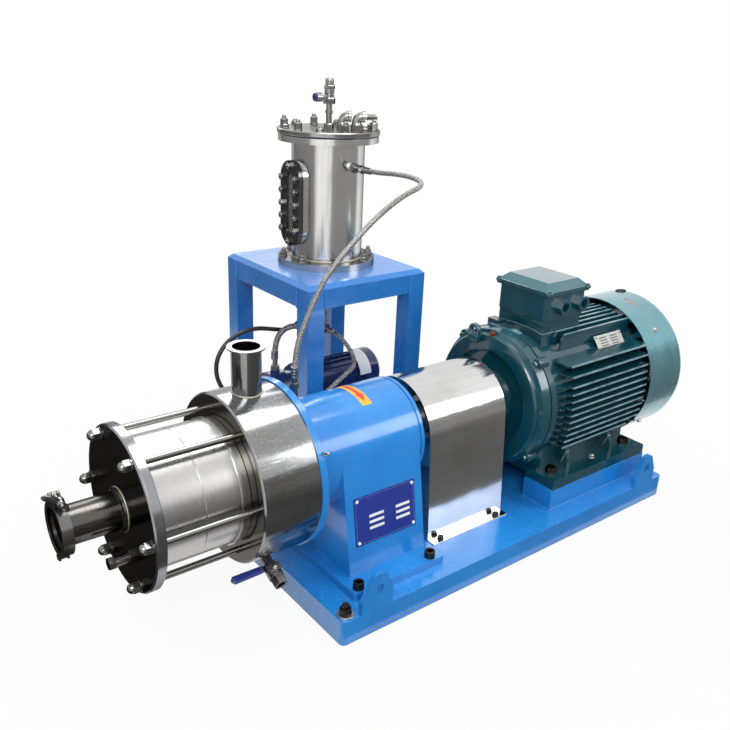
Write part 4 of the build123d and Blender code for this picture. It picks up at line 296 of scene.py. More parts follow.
def makeMetal(name, settings):
    settings = {"streak": "none", "scratches": 0.0, "edge": 0.40, "grain": 0.45, **settings}
    material, tree, shader, place = newMaterial(name)
    rounded = edgeNormal(tree, 0.0008)
    line = streakPlace(tree, place, settings["streak"])
    fineScale, broadScale = (300.0, 60.0) if settings["streak"] == "none" else (1500.0, 160.0)
    fine = noise(tree, line, fineScale, 3.0, 0.7)
    broad = noise(tree, line, broadScale, 4.0, 0.6)
    stain = remap(tree, noise(tree, place, 7.0, 5.0, 0.6), 0.42, 0.78, 0.0, 0.55)
    colour = mixColour(tree, stain, settings["colour"], settings["stain"])
    grain = remap(tree, broad, 0.3, 0.7, 0.0, settings["grain"])
    colour = mixColour(tree, grain, colour, (0.78, 0.76, 0.72), "MULTIPLY")
    low, high = settings["roughness"]
    rough = math2(tree, "ADD", remap(tree, broad, 0.3, 0.7, low, (low + high) / 2),
                  remap(tree, fine, 0.3, 0.7, 0.0, (high - low) / 2))
    if "rim" in settings:
        # the rim is drawn brighter than the face: a painted highlight on the plate's edge
        parts = axes(tree, place)
        flat = addNode(tree, "ShaderNodeCombineXYZ",
                       {1: parts["Y"], 2: math2(tree, "SUBTRACT", parts["Z"], shaftHeight)})
        reach = addNode(tree, "ShaderNodeVectorMath", {0: flat.outputs[0]},
                        operation="LENGTH").outputs["Value"]
        edge, rimHighlight = settings["rim"]
        colour = mixColour(tree, remap(tree, reach, edge - 0.0006, edge, 0.0, 1.0), colour, rimHighlight)
    if settings["scratches"]:
        # crossed wiping marks left by hand polishing
        first = noise(tree, stretched(tree, place, (26.0, 300.0, 300.0), (0.5, 0.3, 0.6)), 1.0, 2.0, 0.6)
        second = noise(tree, stretched(tree, place, (300.0, 24.0, 300.0), (-0.4, 0.5, -0.7)), 1.0, 2.0, 0.6)
        marks = math2(tree, "MAXIMUM", remap(tree, first, 0.60, 0.74, 0.0, 1.0),
                      remap(tree, second, 0.60, 0.74, 0.0, 1.0))
        marks = math2(tree, "MULTIPLY", marks, settings["scratches"])
        rough = math2(tree, "ADD", rough, math2(tree, "MULTIPLY", marks, 0.12))
        colour = mixColour(tree, math2(tree, "MULTIPLY", marks, 0.35), colour, (0.80, 0.81, 0.82))
    if "face" in settings:
        # the flat end that faces the inlet is drawn darker than the drum's round side: a painted dark
        # reflection
        end, reflectedAndDullTone = settings["face"]
        along = axes(tree, place)["X"]
        colour = mixColour(tree, remap(tree, along, end - 0.0006, end, 1.0, 0.0), colour, reflectedAndDullTone)
    if "foot" in settings:
        # the base plate and its welded edge are duller than the shell
        end, reflectedAndDullTone = settings["foot"]
        rise = axes(tree, place)["Z"]
        colour = mixColour(tree, remap(tree, rise, end, end + 0.001, 1.0, 0.0), colour, reflectedAndDullTone)
    if "waves" in settings:
        # rolled sheet is never quite flat, so what it mirrors is drawn out
        rounded = bump(tree, noise(tree, place, 7.0, 2.0), settings["waves"], 0.004, rounded)
    tree.links.new(colour, shader.inputs["Base Color"])
    tree.links.new(rough, shader.inputs["Roughness"])
    tree.links.new(bump(tree, fine, settings["bump"], 0.0004, rounded), shader.inputs["Normal"])
    shader.inputs["Metallic"].default_value = 1.0
    # polished edges that turn away mirror less, which draws a dark outline round them
    shader.inputs["Specular Tint"].default_value = (settings["edge"],) * 3 + (1.0,)
    return material


# plastics, rubber and glass

softSettings = {
    "sleeveBlue": {"colour": (0.008, 0.024, 0.165), "roughness": 0.30, "grain": 90.0, "bump": 0.15},
    "hoseRubber": {"colour": (0.018, 0.018, 0.020), "roughness": 0.42, "grain": 220.0, "bump": 0.20},
    "fanPlastic": {"colour": (0.030, 0.030, 0.032), "roughness": 0.50, "grain": 180.0, "bump": 0.20},
    "sealCarbon": {"colour": (0.035, 0.035, 0.038), "roughness": 0.40, "grain": 400.0, "bump": 0.10},
    "spiderRed": {"colour": (0.42, 0.03, 0.02), "roughness": 0.45, "grain": 150.0, "bump": 0.15},
    "gasketWhite": {"colour": (0.62, 0.61, 0.58), "roughness": 0.60, "grain": 300.0, "bump": 0.25},
    "windingCopper": {"colour": (0.38, 0.15, 0.06), "roughness": 0.38, "grain": 260.0, "bump": 0.50},
    "braidCore": {"colour": (0.025, 0.025, 0.026), "roughness": 0.45, "grain": 200.0, "bump": 0.10},
    "plateBlue": {"colour": (0.012, 0.030, 0.230), "roughness": 0.26, "grain": 24.0, "bump": 0.03},
    "plateEdge": {"colour": (0.10, 0.16, 0.42), "roughness": 0.30, "grain": 60.0, "bump": 0.03},
    "labelAndGlintWhite": {"colour": (0.74, 0.75, 0.74), "roughness": 0.38, "grain": 60.0, "bump": 0.04},
    "stickerYellow": {"colour": (0.82, 0.40, 0.02), "roughness": 0.34, "grain": 50.0, "bump": 0.04},
    "stickerRed": {"colour": (0.62, 0.045, 0.02), "roughness": 0.34, "grain": 50.0, "bump": 0.04},
}


def makeSoft(name, settings):
    material, tree, shader, place = newMaterial(name)
    rounded = edgeNormal(tree, 0.0006)
    grain = noise(tree, place, settings["grain"] * 3, 3.0)
    cloud = noise(tree, place, settings["grain"] / 4, 4.0)
    pale = tuple(min(1.0, c * 1.35 + 0.01) for c in settings["colour"])
    colour = mixColour(tree, remap(tree, cloud, 0.35, 0.75, 0.0, 0.35), settings["colour"], pale)
    tree.links.new(colour, shader.inputs["Base Color"])
    base = settings["roughness"]
    tree.links.new(remap(tree, cloud, 0.3, 0.7, base * 0.8, base * 1.25), shader.inputs["Roughness"])
    tree.links.new(bump(tree, grain, settings["bump"], 0.0003, rounded), shader.inputs["Normal"])
    return material


def makeGlass():
    material, tree, shader, place = newMaterial("paneGlass")
    film = noise(tree, place, 30.0, 4.0)
    tree.links.new(remap(tree, film, 0.3, 0.75, 0.02, 0.10), shader.inputs["Roughness"])
    tree.links.new(mixColour(tree, film, (0.90, 0.95, 0.94), (0.82, 0.90, 0.90)), shader.inputs["Base Color"])
    shader.inputs["Transmission Weight"].default_value = 0.9
    shader.inputs["IOR"].default_value = 1.47
    return material


materials = {name: makePaint(name, settings) for name, settings in paintSettings.items()}
materials.update({name: makeMetal(name, settings) for name, settings in metalSettings.items()})
materials.update({name: makeSoft(name, settings) for name, settings in softSettings.items()})
materials["paneGlass"] = makeGlass()
print("materials made:", len(materials))


# hoses: each route is a list of points in metres, from the fitting where the hose starts to where it ends

hoseSettings = {
    "returnHose": {
        "node": "return_hose", "diameter": 0.012, "length": 0.820, "stiffness": "medium", "braided": True,
        "route": [(-0.107, 0.301, 0.859), (-0.107, 0.256, 0.859), (-0.1075, 0.198, 0.865),
                  (-0.1075, 0.134, 0.868), (-0.113, 0.084, 0.864), (-0.142, 0.050, 0.858),
                  (-0.204, 0.028, 0.850), (-0.256, 0.018, 0.830), (-0.303, 0.014, 0.803),
                  (-0.347, 0.012, 0.769), (-0.389, 0.010, 0.735), (-0.432, 0.008, 0.690),
                  (-0.467, 0.005, 0.632), (-0.505, 0, 0.556), (-0.505, 0, 0.497)],
    },
    "sealHose": {
        "node": "seal_hose", "diameter": 0.012, "length": 0.553, "stiffness": "medium", "braided": True,
        "route": [(-0.107, 0.440, 0.398), (-0.107, 0.400, 0.398), (-0.102, 0.361, 0.379),
                  (-0.105, 0.321, 0.354), (-0.134, 0.283, 0.345), (-0.190, 0.250, 0.345),
                  (-0.249, 0.214, 0.343), (-0.310, 0.179, 0.339), (-0.370, 0.154, 0.335),
                  (-0.424, 0.143, 0.333), (-0.476, 0.143, 0.333)],
    },
    "dropHose": {
        "node": "drop_hose", "diameter": 0.012, "length": 0.148, "stiffness": "medium", "braided": True,
        "route": [(-0.107, 0.4625, 0.566), (-0.107, 0.4625, 0.532), (-0.105, 0.461, 0.495),
                  (-0.107, 0.4625, 0.456), (-0.107, 0.4625, 0.418)],
    },
    "deliveryHose": {
        "node": "delivery_hose", "diameter": 0.016, "length": 0.201, "stiffness": "limp", "braided": True,
        "route": [(-0.262, 0.479, 0.330), (-0.262, 0.479, 0.385), (-0.225, 0.4785, 0.419),
                  (-0.177, 0.470, 0.414), (-0.128, 0.4625, 0.398)],
    },
    "suctionHose": {
        "node": "suction_hose", "diameter": 0.012, "length": 0.627, "stiffness": "medium", "braided": False,
        "route": [(-0.330, 0.479, 0.238), (-0.375, 0.479, 0.238), (-0.416, 0.485, 0.262),
                  (-0.436, 0.492, 0.308), (-0.431, 0.498, 0.357), (-0.398, 0.502, 0.398),
                  (-0.352, 0.503, 0.417), (-0.304, 0.503, 0.421), (-0.258, 0.502, 0.410),
                  (-0.211, 0.500, 0.399), (-0.166, 0.5005, 0.415), (-0.149, 0.5005, 0.458),
                  (-0.146, 0.5005, 0.506), (-0.146, 0.5005, 0.562)],
    },
}


def newTree(name, sockets):
    # a Geometry Nodes tree with named inputs; gives the tree, its input node and its output node
    tree = bpy.data.node_groups.new(name, "GeometryNodeTree")
    tree.interface.new_socket("Geometry", in_out="INPUT", socket_type="NodeSocketGeometry")
    tree.interface.new_socket("Geometry", in_out="OUTPUT", socket_type="NodeSocketGeometry")
    for socketName, kind, value in sockets:
        made = tree.interface.new_socket(socketName, in_out="INPUT", socket_type="NodeSocket" + kind)
        if value is not None:
            made.default_value = value
    start = tree.nodes.new("NodeGroupInput")
    end = tree.nodes.new("NodeGroupOutput")
    return tree, start.outputs, end


def setInputs(modifier, values):
    for item in modifier.node_group.interface.items_tree:
        if item.in_out == "INPUT" and item.name in values:
            modifier[item.identifier] = values[item.name]


def grow(obj, tree, values):
    # links the object and lets a Geometry Nodes tree build on it
    scene.collection.objects.link(obj)
    modifier = obj.modifiers.new("grown", "NODES")
    modifier.node_group = tree
    setInputs(modifier, values)
    bpy.context.view_layer.update()


def meshOf(name, bm):
    mesh = bpy.data.meshes.new(name)
    bm.to_mesh(mesh)
    bm.free()
    return mesh


def painted(tree, geometry, finish):
    return addNode(tree, "GeometryNodeSetMaterial", {"Geometry": geometry, "Material": finish}).outputs[0]


def makeMeshFrom(obj, name, replaced=()):
    # turns the evaluated object into a plain mesh piece that rides on the frame
    graph = bpy.context.evaluated_depsgraph_get()
    mesh = bpy.data.meshes.new_from_object(obj.evaluated_get(graph), preserve_all_data_layers=True,
                                           depsgraph=graph)
    mesh.name = name
    bpy.data.objects.remove(obj)
    return addPiece(name, mesh, "frame", replaced)


def addPiece(name, mesh, body, replaced):
    piece = bpy.data.objects.new(name, mesh)
    scene.collection.objects.link(piece)
    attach(piece, body)
    if replaced:
        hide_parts(*replaced)
    return piece


def makeHoseTree():
    # a smooth core and, around it, two sets of flat strands wound opposite ways and woven
    sockets = [("Radius", "Float", 0.006), ("Strand Width", "Float", 0.0017),
               ("Strand Thickness", "Float", 0.0005), ("Pairs", "Int", 8), ("Lead", "Float", 0.032),
               ("Core", "Material", None), ("Strands", "Material", None)]
    tree, given, end = newTree("braidedHose", sockets)
    line = addNode(tree, "GeometryNodeResampleCurve", {"Curve": given["Geometry"], "Length": 0.0012},
                   mode="LENGTH")
    line = line.outputs["Curve"]
    coreRadius = math2(tree, "SUBTRACT", given["Radius"],
                       math2(tree, "MULTIPLY", given["Strand Thickness"], 2.2))
    ring = addNode(tree, "GeometryNodeCurvePrimitiveCircle", {"Resolution": 20, "Radius": coreRadius})
    core = addNode(tree, "GeometryNodeCurveToMesh", {"Curve": line, "Profile Curve": ring.outputs["Curve"]})
    core = painted(tree, core.outputs["Mesh"], given["Core"])
    copies = addNode(tree, "GeometryNodeDuplicateElements",
                     {"Geometry": line, "Amount": math2(tree, "MULTIPLY", given["Pairs"], 2)},
                     domain="SPLINE")
    index = copies.outputs["Duplicate Index"]
    side = math2(tree, "SUBTRACT", math2(tree, "MULTIPLY", math2(tree, "MODULO", index, 2), 2), 1)
    phase = math2(tree, "DIVIDE",
                  math2(tree, "MULTIPLY", math2(tree, "FLOOR", math2(tree, "DIVIDE", index, 2)),
                        2 * math.pi), given["Pairs"])
    travel = addNode(tree, "GeometryNodeSplineParameter").outputs["Length"]
    turn = math2(tree, "DIVIDE", math2(tree, "MULTIPLY", travel, 2 * math.pi), given["Lead"])
    angle = math2(tree, "ADD", math2(tree, "MULTIPLY", side, turn), phase)
    weave = math2(tree, "MULTIPLY", side,
                  math2(tree, "COSINE", math2(tree, "MULTIPLY", turn, given["Pairs"])))
    weave = math2(tree, "MULTIPLY", weave, math2(tree, "MULTIPLY", given["Strand Thickness"], 0.5))
    reach = math2(tree, "SUBTRACT", given["Radius"], given["Strand Thickness"])
    reach = math2(tree, "ADD", reach, weave)
    normal = addNode(tree, "GeometryNodeInputNormal").outputs["Normal"]
    tangent = addNode(tree, "GeometryNodeInputTangent").outputs["Tangent"]
    across = addNode(tree, "ShaderNodeVectorMath", {0: tangent, 1: normal},
                     operation="CROSS_PRODUCT").outputs[0]
    first = addNode(tree, "ShaderNodeVectorMath", {0: normal, "Scale": math2(tree, "COSINE", angle)},
                    operation="SCALE")
    second = addNode(tree, "ShaderNodeVectorMath", {0: across, "Scale": math2(tree, "SINE", angle)},
                     operation="SCALE")
    outward = addNode(tree, "ShaderNodeVectorMath", {0: first.outputs[0], 1: second.outputs[0]},
                      operation="ADD")
    kept = addNode(tree, "GeometryNodeCaptureAttribute", {"Geometry": copies.outputs["Geometry"]},
                   domain="POINT")
    kept.capture_items.new("VECTOR", "outward")
    tree.links.new(outward.outputs[0], kept.inputs[1])
    offset = addNode(tree, "ShaderNodeVectorMath", {0: outward.outputs[0], "Scale": reach}, operation="SCALE")
    wound = addNode(tree, "GeometryNodeSetPosition",
                    {"Geometry": kept.outputs[0], "Offset": offset.outputs[0]})
    faced = addNode(tree, "GeometryNodeSetCurveNormal",
                    {"Curve": wound.outputs[0], "Normal": kept.outputs[1]}, mode="FREE")
    flat = addNode(tree, "GeometryNodeCurvePrimitiveQuadrilateral",
                   {"Width": given["Strand Thickness"], "Height": given["Strand Width"]})
    strands = addNode(tree, "GeometryNodeCurveToMesh",
                      {"Curve": faced.outputs[0], "Profile Curve": flat.outputs[0]})
    strands = painted(tree, strands.outputs["Mesh"], given["Strands"])
    both = addNode(tree, "GeometryNodeJoinGeometry")
    tree.links.new(core, both.inputs[0])
    tree.links.new(strands, both.inputs[0])
    whole = addNode(tree, "GeometryNodeRealizeInstances", {"Geometry": both.outputs[0]})
    tree.links.new(whole.outputs[0], end.inputs[0])
    return tree


def hoseCurve(name, route):
    data = bpy.data.curves.new(name, "CURVE")
    data.dimensions = "3D"
    data.resolution_u = 16
    spline = data.splines.new("NURBS")
    spline.points.add(len(route) - 1)
    for point, place in zip(spline.points, route):
        point.co = (*place, 1.0)
    spline.order_u = 3
    spline.use_endpoint_u = True
    curve = bpy.data.objects.new(name, data)
    scene.collection.objects.link(curve)
    bpy.context.view_layer.update()
    return curve


def makeHose(name, settings, tree):
    curve = hoseCurve(name, settings["route"])
    graph = bpy.context.evaluated_depsgraph_get()
    line = bpy.data.meshes.new_from_object(curve.evaluated_get(graph))
    radius = settings["diameter"] / 2
    modifier = curve.modifiers.new("braid", "NODES")
    modifier.node_group = tree
    plain = materials["hoseRubber"]
    values = {"Radius": radius, "Core": materials["braidCore"], "Strands": materials["braidSteel"]}
    if not settings["braided"]:
        values.update({"Pairs": 0, "Strand Thickness": 0.0, "Core": plain, "Strands": plain})
    setInputs(modifier, values)
    curve.name = name + "Line"
    hose = makeMeshFrom(curve, name, replaced=[settings["node"]])


hoseTree = makeHoseTree()
for hoseName, hoseValues in hoseSettings.items():
    makeHose(hoseName, hoseValues, hoseTree)
print("hoses made:", len(hoseSettings))


slotMaterials = {
    "blue_paint": "skidBlue", "stand_paint": "standBlue", "motor_paint": "motorGreen",
    "small_motor_paint": "smallMotorBlue", "polished_steel": "polishedSteelDarkReflection",
    "brushed_stainless": "turnedSteel",
    "guard_steel": "mirrorSheet", "machined_steel": "machinedSteel", "zinc_steel": "zincSteel",
    "dark_steel": "darkSteel", "plate_blue": "plateBlue", "bearing_steel": "machinedSteel",
    "seal_carbon": "sealCarbon", "spider_rubber": "spiderRed", "gasket_white": "gasketWhite",
    "sleeve_blue": "sleeveBlue", "fan_plastic": "fanPlastic", "winding_copper": "windingCopper",
    "pane_glass": "paneGlass", "fitting_steel": "fittingSteel", "braided_steel": "fittingSteel",
    "black_rubber": "hoseRubber",
}
ownFinishes = {
    "vessel_shell": "vesselSteel", "vessel_lid": "lidSteel", "front_plate": "plateSteelDarkReflection",
    "tie_rods": "nutSteel",
    "clamp_back_half": "clampSteel", "clamp_front_half": "clampSteel", "sight_cover": "sightSteel",
    "motor_frame": "finGreen", "terminal_lid": "lidSheenGreen", "fan_cowl": "cowlSheenGreen",
    "vessel_gasket": "hoseRubber", "plate_port": "nutSteel",
}


def dressNodes():
    for row in frame["record"]["subparts"]:
        name = ownFinishes.get(row["node"], slotMaterials[row["material_slot"]])
        for place in nodes[row["node"]].material_slots:
            place.material = materials[name]


dressNodes()
print("frame dressed")


# small pieces built from turned, hexagonal and boxed bits gathered in one mesh

def turnedBit(bm, profile, start, direction, segments=40, index=0, smooth=True):
    direction = Vector(direction).normalized()
    side = direction.orthogonal().normalized()
    up = direction.cross(side)
    rings = []
    for along, radius in profile:
        centre = Vector(start) + direction * along
        if radius <= 0:
            rings.append([bm.verts.new(centre)])
            continue
        ring = []
        for step in range(segments):
            turn = 2 * math.pi * step / segments
            ring.append(bm.verts.new(centre + (side * math.cos(turn) + up * math.sin(turn)) * radius))
        rings.append(ring)
    for first, second in zip(rings, rings[1:]):
        for step in range(segments):
            corners = (first[step % len(first)], first[(step + 1) % len(first)],
                       second[(step + 1) % len(second)], second[step % len(second)])
            corners = list(dict.fromkeys(corners))
            if len(corners) > 2:
                face = bm.faces.new(corners)
                face.material_index = index
                face.smooth = smooth


def hexBit(bm, start, direction, flats, height, index=0):
    reach = flats / math.sqrt(3)
    edge = min(height, reach) * 0.16
    profile = [(0, 0), (0, reach), (height - edge, reach), (height, reach - edge), (height, 0)]
    turnedBit(bm, profile, start, direction, 6, index, smooth=False)


def boxBit(bm, low, high, bevel):
    low, high = Vector(low), Vector(high)
    middle, size = (low + high) / 2, high - low
    made = bmesh.ops.create_cube(bm, size=1.0)["verts"]
    for vertex in made:
        vertex.co = middle + Vector((vertex.co.x * size.x, vertex.co.y * size.y, vertex.co.z * size.z))
    edges = list({edge for vertex in made for edge in vertex.link_edges})
    bmesh.ops.bevel(bm, geom=edges, offset=bevel, segments=3, profile=0.6, affect="EDGES")


def patchBit(bm, centre, radius, ends, angles, rise, index=0, steps=14):
    # a thin label wrapped round a drum that lies along the shaft; angles are measured up from the near side
    def at(x, degrees, reach):
        turn = math.radians(degrees)
        return bm.verts.new((x, centre[0] - reach * math.cos(turn), centre[1] + reach * math.sin(turn)))

    turns = [angles[0] + (angles[1] - angles[0]) * step / steps for step in range(steps + 1)]
    outer = [[at(x, turn, radius + rise) for turn in turns] for x in ends]
    inner = [[at(x, turn, radius - rise) for turn in turns] for x in ends]
    made = []
    for step in range(steps):
        made.append((outer[0][step], outer[0][step + 1], outer[1][step + 1], outer[1][step]))
        made.append((inner[0][step + 1], inner[0][step], inner[1][step], inner[1][step + 1]))
        for row in (0, 1):
            made.append((outer[row][step], outer[row][step + 1], inner[row][step + 1], inner[row][step]))
    for step in (0, steps):
        made.append((outer[0][step], outer[1][step], inner[1][step], inner[0][step]))
    for corners in made:
        bm.faces.new(corners).material_index = index


def plateBit(bm, origin, across, up, low, high, rise, index=0):
    # a flat raised bar on a face; low and high are places along across and up
    out = across.cross(up)
    corners = []
    for depth in (-rise, rise):
        for u, v in ((low[0], low[1]), (high[0], low[1]), (high[0], high[1]), (low[0], high[1])):
            corners.append(bm.verts.new(origin + across * u + up * v + out * depth))
    order = ((3, 2, 1, 0), (4, 5, 6, 7), (0, 1, 5, 4), (1, 2, 6, 5), (2, 3, 7, 6), (3, 0, 4, 7))
    for corner in order:
        bm.faces.new([corners[number] for number in corner]).material_index = index


def finishPiece(name, bm, finishes, body="frame", replaced=()):
    bmesh.ops.recalc_face_normals(bm, faces=bm.faces)
    mesh = meshOf(name, bm)
    mesh.set_sharp_from_angle(angle=math.radians(38))
    for finish in finishes:
        mesh.materials.append(materials[finish])
    return addPiece(name, mesh, body, replaced)


# marks on the pedestal: the plate's printed bars, the turning arrow and the grease nipple

plateMarkSettings = {
    "barLength": 0.040, "barHeight": 0.0065, "columns": (0.23, 0.67), "rows": (0.455, 0.58, 0.705),
    "rimWidth": 0.0012, "rimInset": 0.003, "rise": 0.00012,
}
arrowSettings = {
    "ends": (-0.3655, -0.3395), "angles": (62.0, 112.0), "shaftEnds": (-0.3575, -0.3475), "rise": 0.00018,
    "radius": 0.121, "headTurns": (5, 12), "headHalf": 0.0105, "shaftInset": 7,
}
nippleSettings = {"place": (-0.538, -0.1614, 0.3975), "flats": 0.009, "base": 0.005, "reach": 0.012}


def plateFrame():
    # the pedestal plate's face: a point on it, its directions and how far it reaches along them
    plate = nodes["nameplates"].data
    widest = max((face for face in plate.polygons if face.normal.y < -0.6), key=lambda face: face.area)
    out, point = widest.normal.copy(), widest.center.copy()
    up = (Vector((0, 0, 1)) - out * out.z).normalized()
    across = up.cross(out)
    us = [(vertex.co - point).dot(across) for vertex in plate.vertices]
    vs = [(vertex.co - point).dot(up) for vertex in plate.vertices]
    return point, out, across, up, (min(us), max(us)), (min(vs), max(vs))


def makePlateMarks(settings):
    point, _, across, up, (left, right), (bottom, top) = plateFrame()
    bm = bmesh.new()
    for column in settings["columns"]:
        for row in settings["rows"]:
            u = left + (right - left) * column
            v = top - (top - bottom) * row
            plateBit(bm, point, across, up, (u, v - settings["barHeight"] / 2),
                     (u + settings["barLength"], v + settings["barHeight"] / 2), settings["rise"])
    edge, inset = settings["rimWidth"], settings["rimInset"]
    for low, high in (((left + inset, top - inset - edge), (right - inset, top - inset)),
                      ((left + inset, bottom + inset), (right - inset, bottom + inset + edge)),
                      ((left + inset, bottom + inset + edge), (left + inset + edge, top - inset - edge)),
                      ((right - inset - edge, bottom + inset + edge), (right - inset, top - inset - edge))):
        plateBit(bm, point, across, up, low, high, settings["rise"], 1)
    finishPiece("plateMarks", bm, ["labelAndGlintWhite", "plateEdge"])


def makeArrow(settings):
    bm = bmesh.new()
    centre, radius = (0.0, shaftHeight), settings["radius"]
    patchBit(bm, centre, radius, settings["ends"], settings["angles"], settings["rise"], 0, 20)
    low, high = settings["angles"]
    first, span = settings["headTurns"]
    patchBit(bm, centre, radius, settings["shaftEnds"], (low + first + span, high - settings["shaftInset"]),
             settings["rise"] * 2, 1, 14)
    middle = sum(settings["shaftEnds"]) / 2
    steps = 8
    for step in range(steps):
        half = settings["headHalf"] * (step + 0.5) / steps
        turns = (low + first + span * step / steps, low + first + span * (step + 1) / steps)
        patchBit(bm, centre, radius, (middle - half, middle + half), turns, settings["rise"] * 2, 1, 1)
    finishPiece("turningArrow", bm, ["stickerYellow", "stickerRed"])


def makeNipple(settings):
    bm = bmesh.new()
    place = Vector(settings["place"])
    out = Vector((0, place.y, place.z - shaftHeight)).normalized()
    hexBit(bm, place - out * 0.001, out, settings["flats"], settings["base"])
    reach = settings["reach"]
    turnedBit(bm, [(0, 0), (0, 0.0028), (reach * 0.45, 0.0026), (reach * 0.55, 0.0020),
                   (reach * 0.72, 0.0031), (reach * 0.9, 0.0028), (reach, 0.0014), (reach, 0)],
              place + out * (settings["base"] - 0.001), out, 24)
    finishPiece("greaseNipple", bm, ["fittingSteel"])


makePlateMarks(plateMarkSettings)
makeArrow(arrowSettings)
makeNipple(nippleSettings)
print("pedestal marks made")


# motor: rating plate, lifting eye, plugs, earth screw, cowl screws, cowl label and shield bosses

motorSettings = {
    "plate": {"left": 0.362, "right": 0.473, "top": (-0.1015, 0.457), "bottom": (-0.1275, 0.4225),
              "thickness": 0.0012},
    "eye": {"place": (0.072, 0.050, 0.4835), "ring": 0.0135, "wire": 0.0058},
    "rustyPlug": {"place": (0.088, 0.003, 0.4785), "flats": 0.013, "height": 0.009},
    "earthScrew": {"place": (0.290, -0.200, 0.165), "flats": 0.013, "height": 0.008},
    "cowlScrews": {"x": 0.580, "angles": (44, 136, 224, 316), "radius": 0.198},
    "cowlPlug": {"x": 0.643, "angle": 98, "radius": 0.198},
    "cowlLabel": {"ends": (0.574, 0.596), "angles": (70, 82)},
    "bosses": {"x": (0.112, 0.142), "angles": (45, 135, 225, 315), "radius": 0.172, "rise": 0.008},
}


def roundPoint(x, degrees, radius, centre=(0.0, shaftHeight)):
    turn = math.radians(degrees)
    out = Vector((0, -math.cos(turn), math.sin(turn)))
    return Vector((x, centre[0], centre[1])) + out * radius, out


def makeMotorPlate(settings):
    bm = bmesh.new()
    top = Vector((0, *settings["top"]))
    bottom = Vector((0, *settings["bottom"]))
    up = (top - bottom).normalized()
    across = Vector((1, 0, 0))
    out = across.cross(up)
    origin = bottom + across * settings["left"]
    size = (settings["right"] - settings["left"], (top - bottom).length)
    plateBit(bm, origin, across, up, (0, 0), size, settings["thickness"] / 2, 0)
    inset = 0.006
    for u in (inset, size[0] - inset):
        for v in (inset, size[1] - inset):
            spot = origin + across * u + up * v
            turnedBit(bm, [(-0.001, 0), (-0.001, 0.0028), (0.0012, 0.0028), (0.0020, 0.0018), (0.0022, 0)],
                      spot, out, 20, 1)
            turnedBit(bm, [(0, 0), (0, 0.0045), (-0.022, 0.0060), (-0.022, 0)], spot - out * 0.0006, out, 20,
                      2)
    rows = 4
    for row in range(rows):
        v = size[1] * (0.80 - 0.17 * row)
        for u in (0.16, 0.55):
            spot = origin + out * (settings["thickness"] / 2)
            plateBit(bm, spot, across, up, (size[0] * u, v - 0.0012), (size[0] * (u + 0.26), v + 0.0012),
                     0.0001, 3)
    finishPiece("motorPlate", bm, ["zincSteel", "fittingSteel", "motorGreen", "darkSteel"])


def makeMotorSmalls(settings):
    bm = bmesh.new()
    eye = settings["eye"]
    centre = Vector(eye["place"])
    turns, sections = 36, 14
    rings = []
    for step in range(turns):
        turn = 2 * math.pi * step / turns
        out = Vector((0, math.cos(turn), math.sin(turn)))
        middle = centre + out * eye["ring"]
        ring = []
        for section in range(sections):
            bend = 2 * math.pi * section / sections
            ring.append(bm.verts.new(middle + out * eye["wire"] * math.cos(bend)
                                     + Vector((1, 0, 0)) * eye["wire"] * 1.3 * math.sin(bend)))
        rings.append(ring)
    for step in range(turns):
        first, second = rings[step], rings[(step + 1) % turns]
        for section in range(sections):
            after = (section + 1) % sections
            face = bm.faces.new((first[section], first[after], second[after], second[section]))
            face.smooth = True
    low = centre - Vector((0.009, 0.017, 0.030))
    boxBit(bm, low, centre + Vector((0.009, 0.017, -0.010)), 0.004)
    boss = settings["bosses"]
    for angle in boss["angles"]:
        place, out = roundPoint(boss["x"][0], angle, boss["radius"])
        turnedBit(bm, [(0, 0), (0, 0.013), (0.002, 0.015), (boss["x"][1] - boss["x"][0], 0.015),
                       (boss["x"][1] - boss["x"][0] + 0.004, 0)], place + out * boss["rise"], (1, 0, 0), 28)
    finishPiece("motorCastings", bm, ["motorGreen"])
    bm = bmesh.new()
    plug = settings["rustyPlug"]
    hexBit(bm, plug["place"], (0, 0, 1), plug["flats"], plug["height"], 0)
    earth = settings["earthScrew"]
    turnedBit(bm, [(0, 0), (0, 0.010), (0.0016, 0.010), (0.0016, 0)], earth["place"], (0, 0, 1), 28, 1)
    hexBit(bm, Vector(earth["place"]) + Vector((0, 0, 0.0016)), (0, 0, 1), earth["flats"], earth["height"], 1)
    screws = settings["cowlScrews"]
    for angle in screws["angles"]:
        place, out = roundPoint(screws["x"], angle, screws["radius"])
        turnedBit(bm, [(-0.004, 0), (-0.004, 0.0085), (0.0012, 0.0085), (0.0016, 0.0080), (0.0016, 0)],
                  place, out, 28, 1)
        turnedBit(bm, [(0, 0), (0, 0.0052), (0.0030, 0.0050), (0.0044, 0.0036), (0.0044, 0.0018),
                       (0.0026, 0.0018), (0.0026, 0)], place + out * 0.0016, out, 24, 1)
    spare = settings["cowlPlug"]
    place, out = roundPoint(spare["x"], spare["angle"], spare["radius"])
    turnedBit(bm, [(-0.004, 0), (-0.004, 0.015), (0.002, 0.015), (0.0035, 0.0130), (0.0030, 0)], place, out,
              32, 2)
    label = settings["cowlLabel"]
    patchBit(bm, (0.0, shaftHeight), screws["radius"], label["ends"], label["angles"], 0.0003, 3, 6)
    for angle in boss["angles"]:
        place, out = roundPoint(boss["x"][0], angle, boss["radius"])
        hexBit(bm, place + out * boss["rise"], (-1, 0, 0), 0.016, 0.009, 4)
    finishPiece("motorScrews", bm, ["rustSteel", "zincSteel", "darkSteel", "zincSteel", "motorGreen"])


makeMotorPlate(motorSettings["plate"])
makeMotorSmalls(motorSettings)
print("motor details made")


# steel sleeves crimped on the hose ends, and the label on the small pump's motor

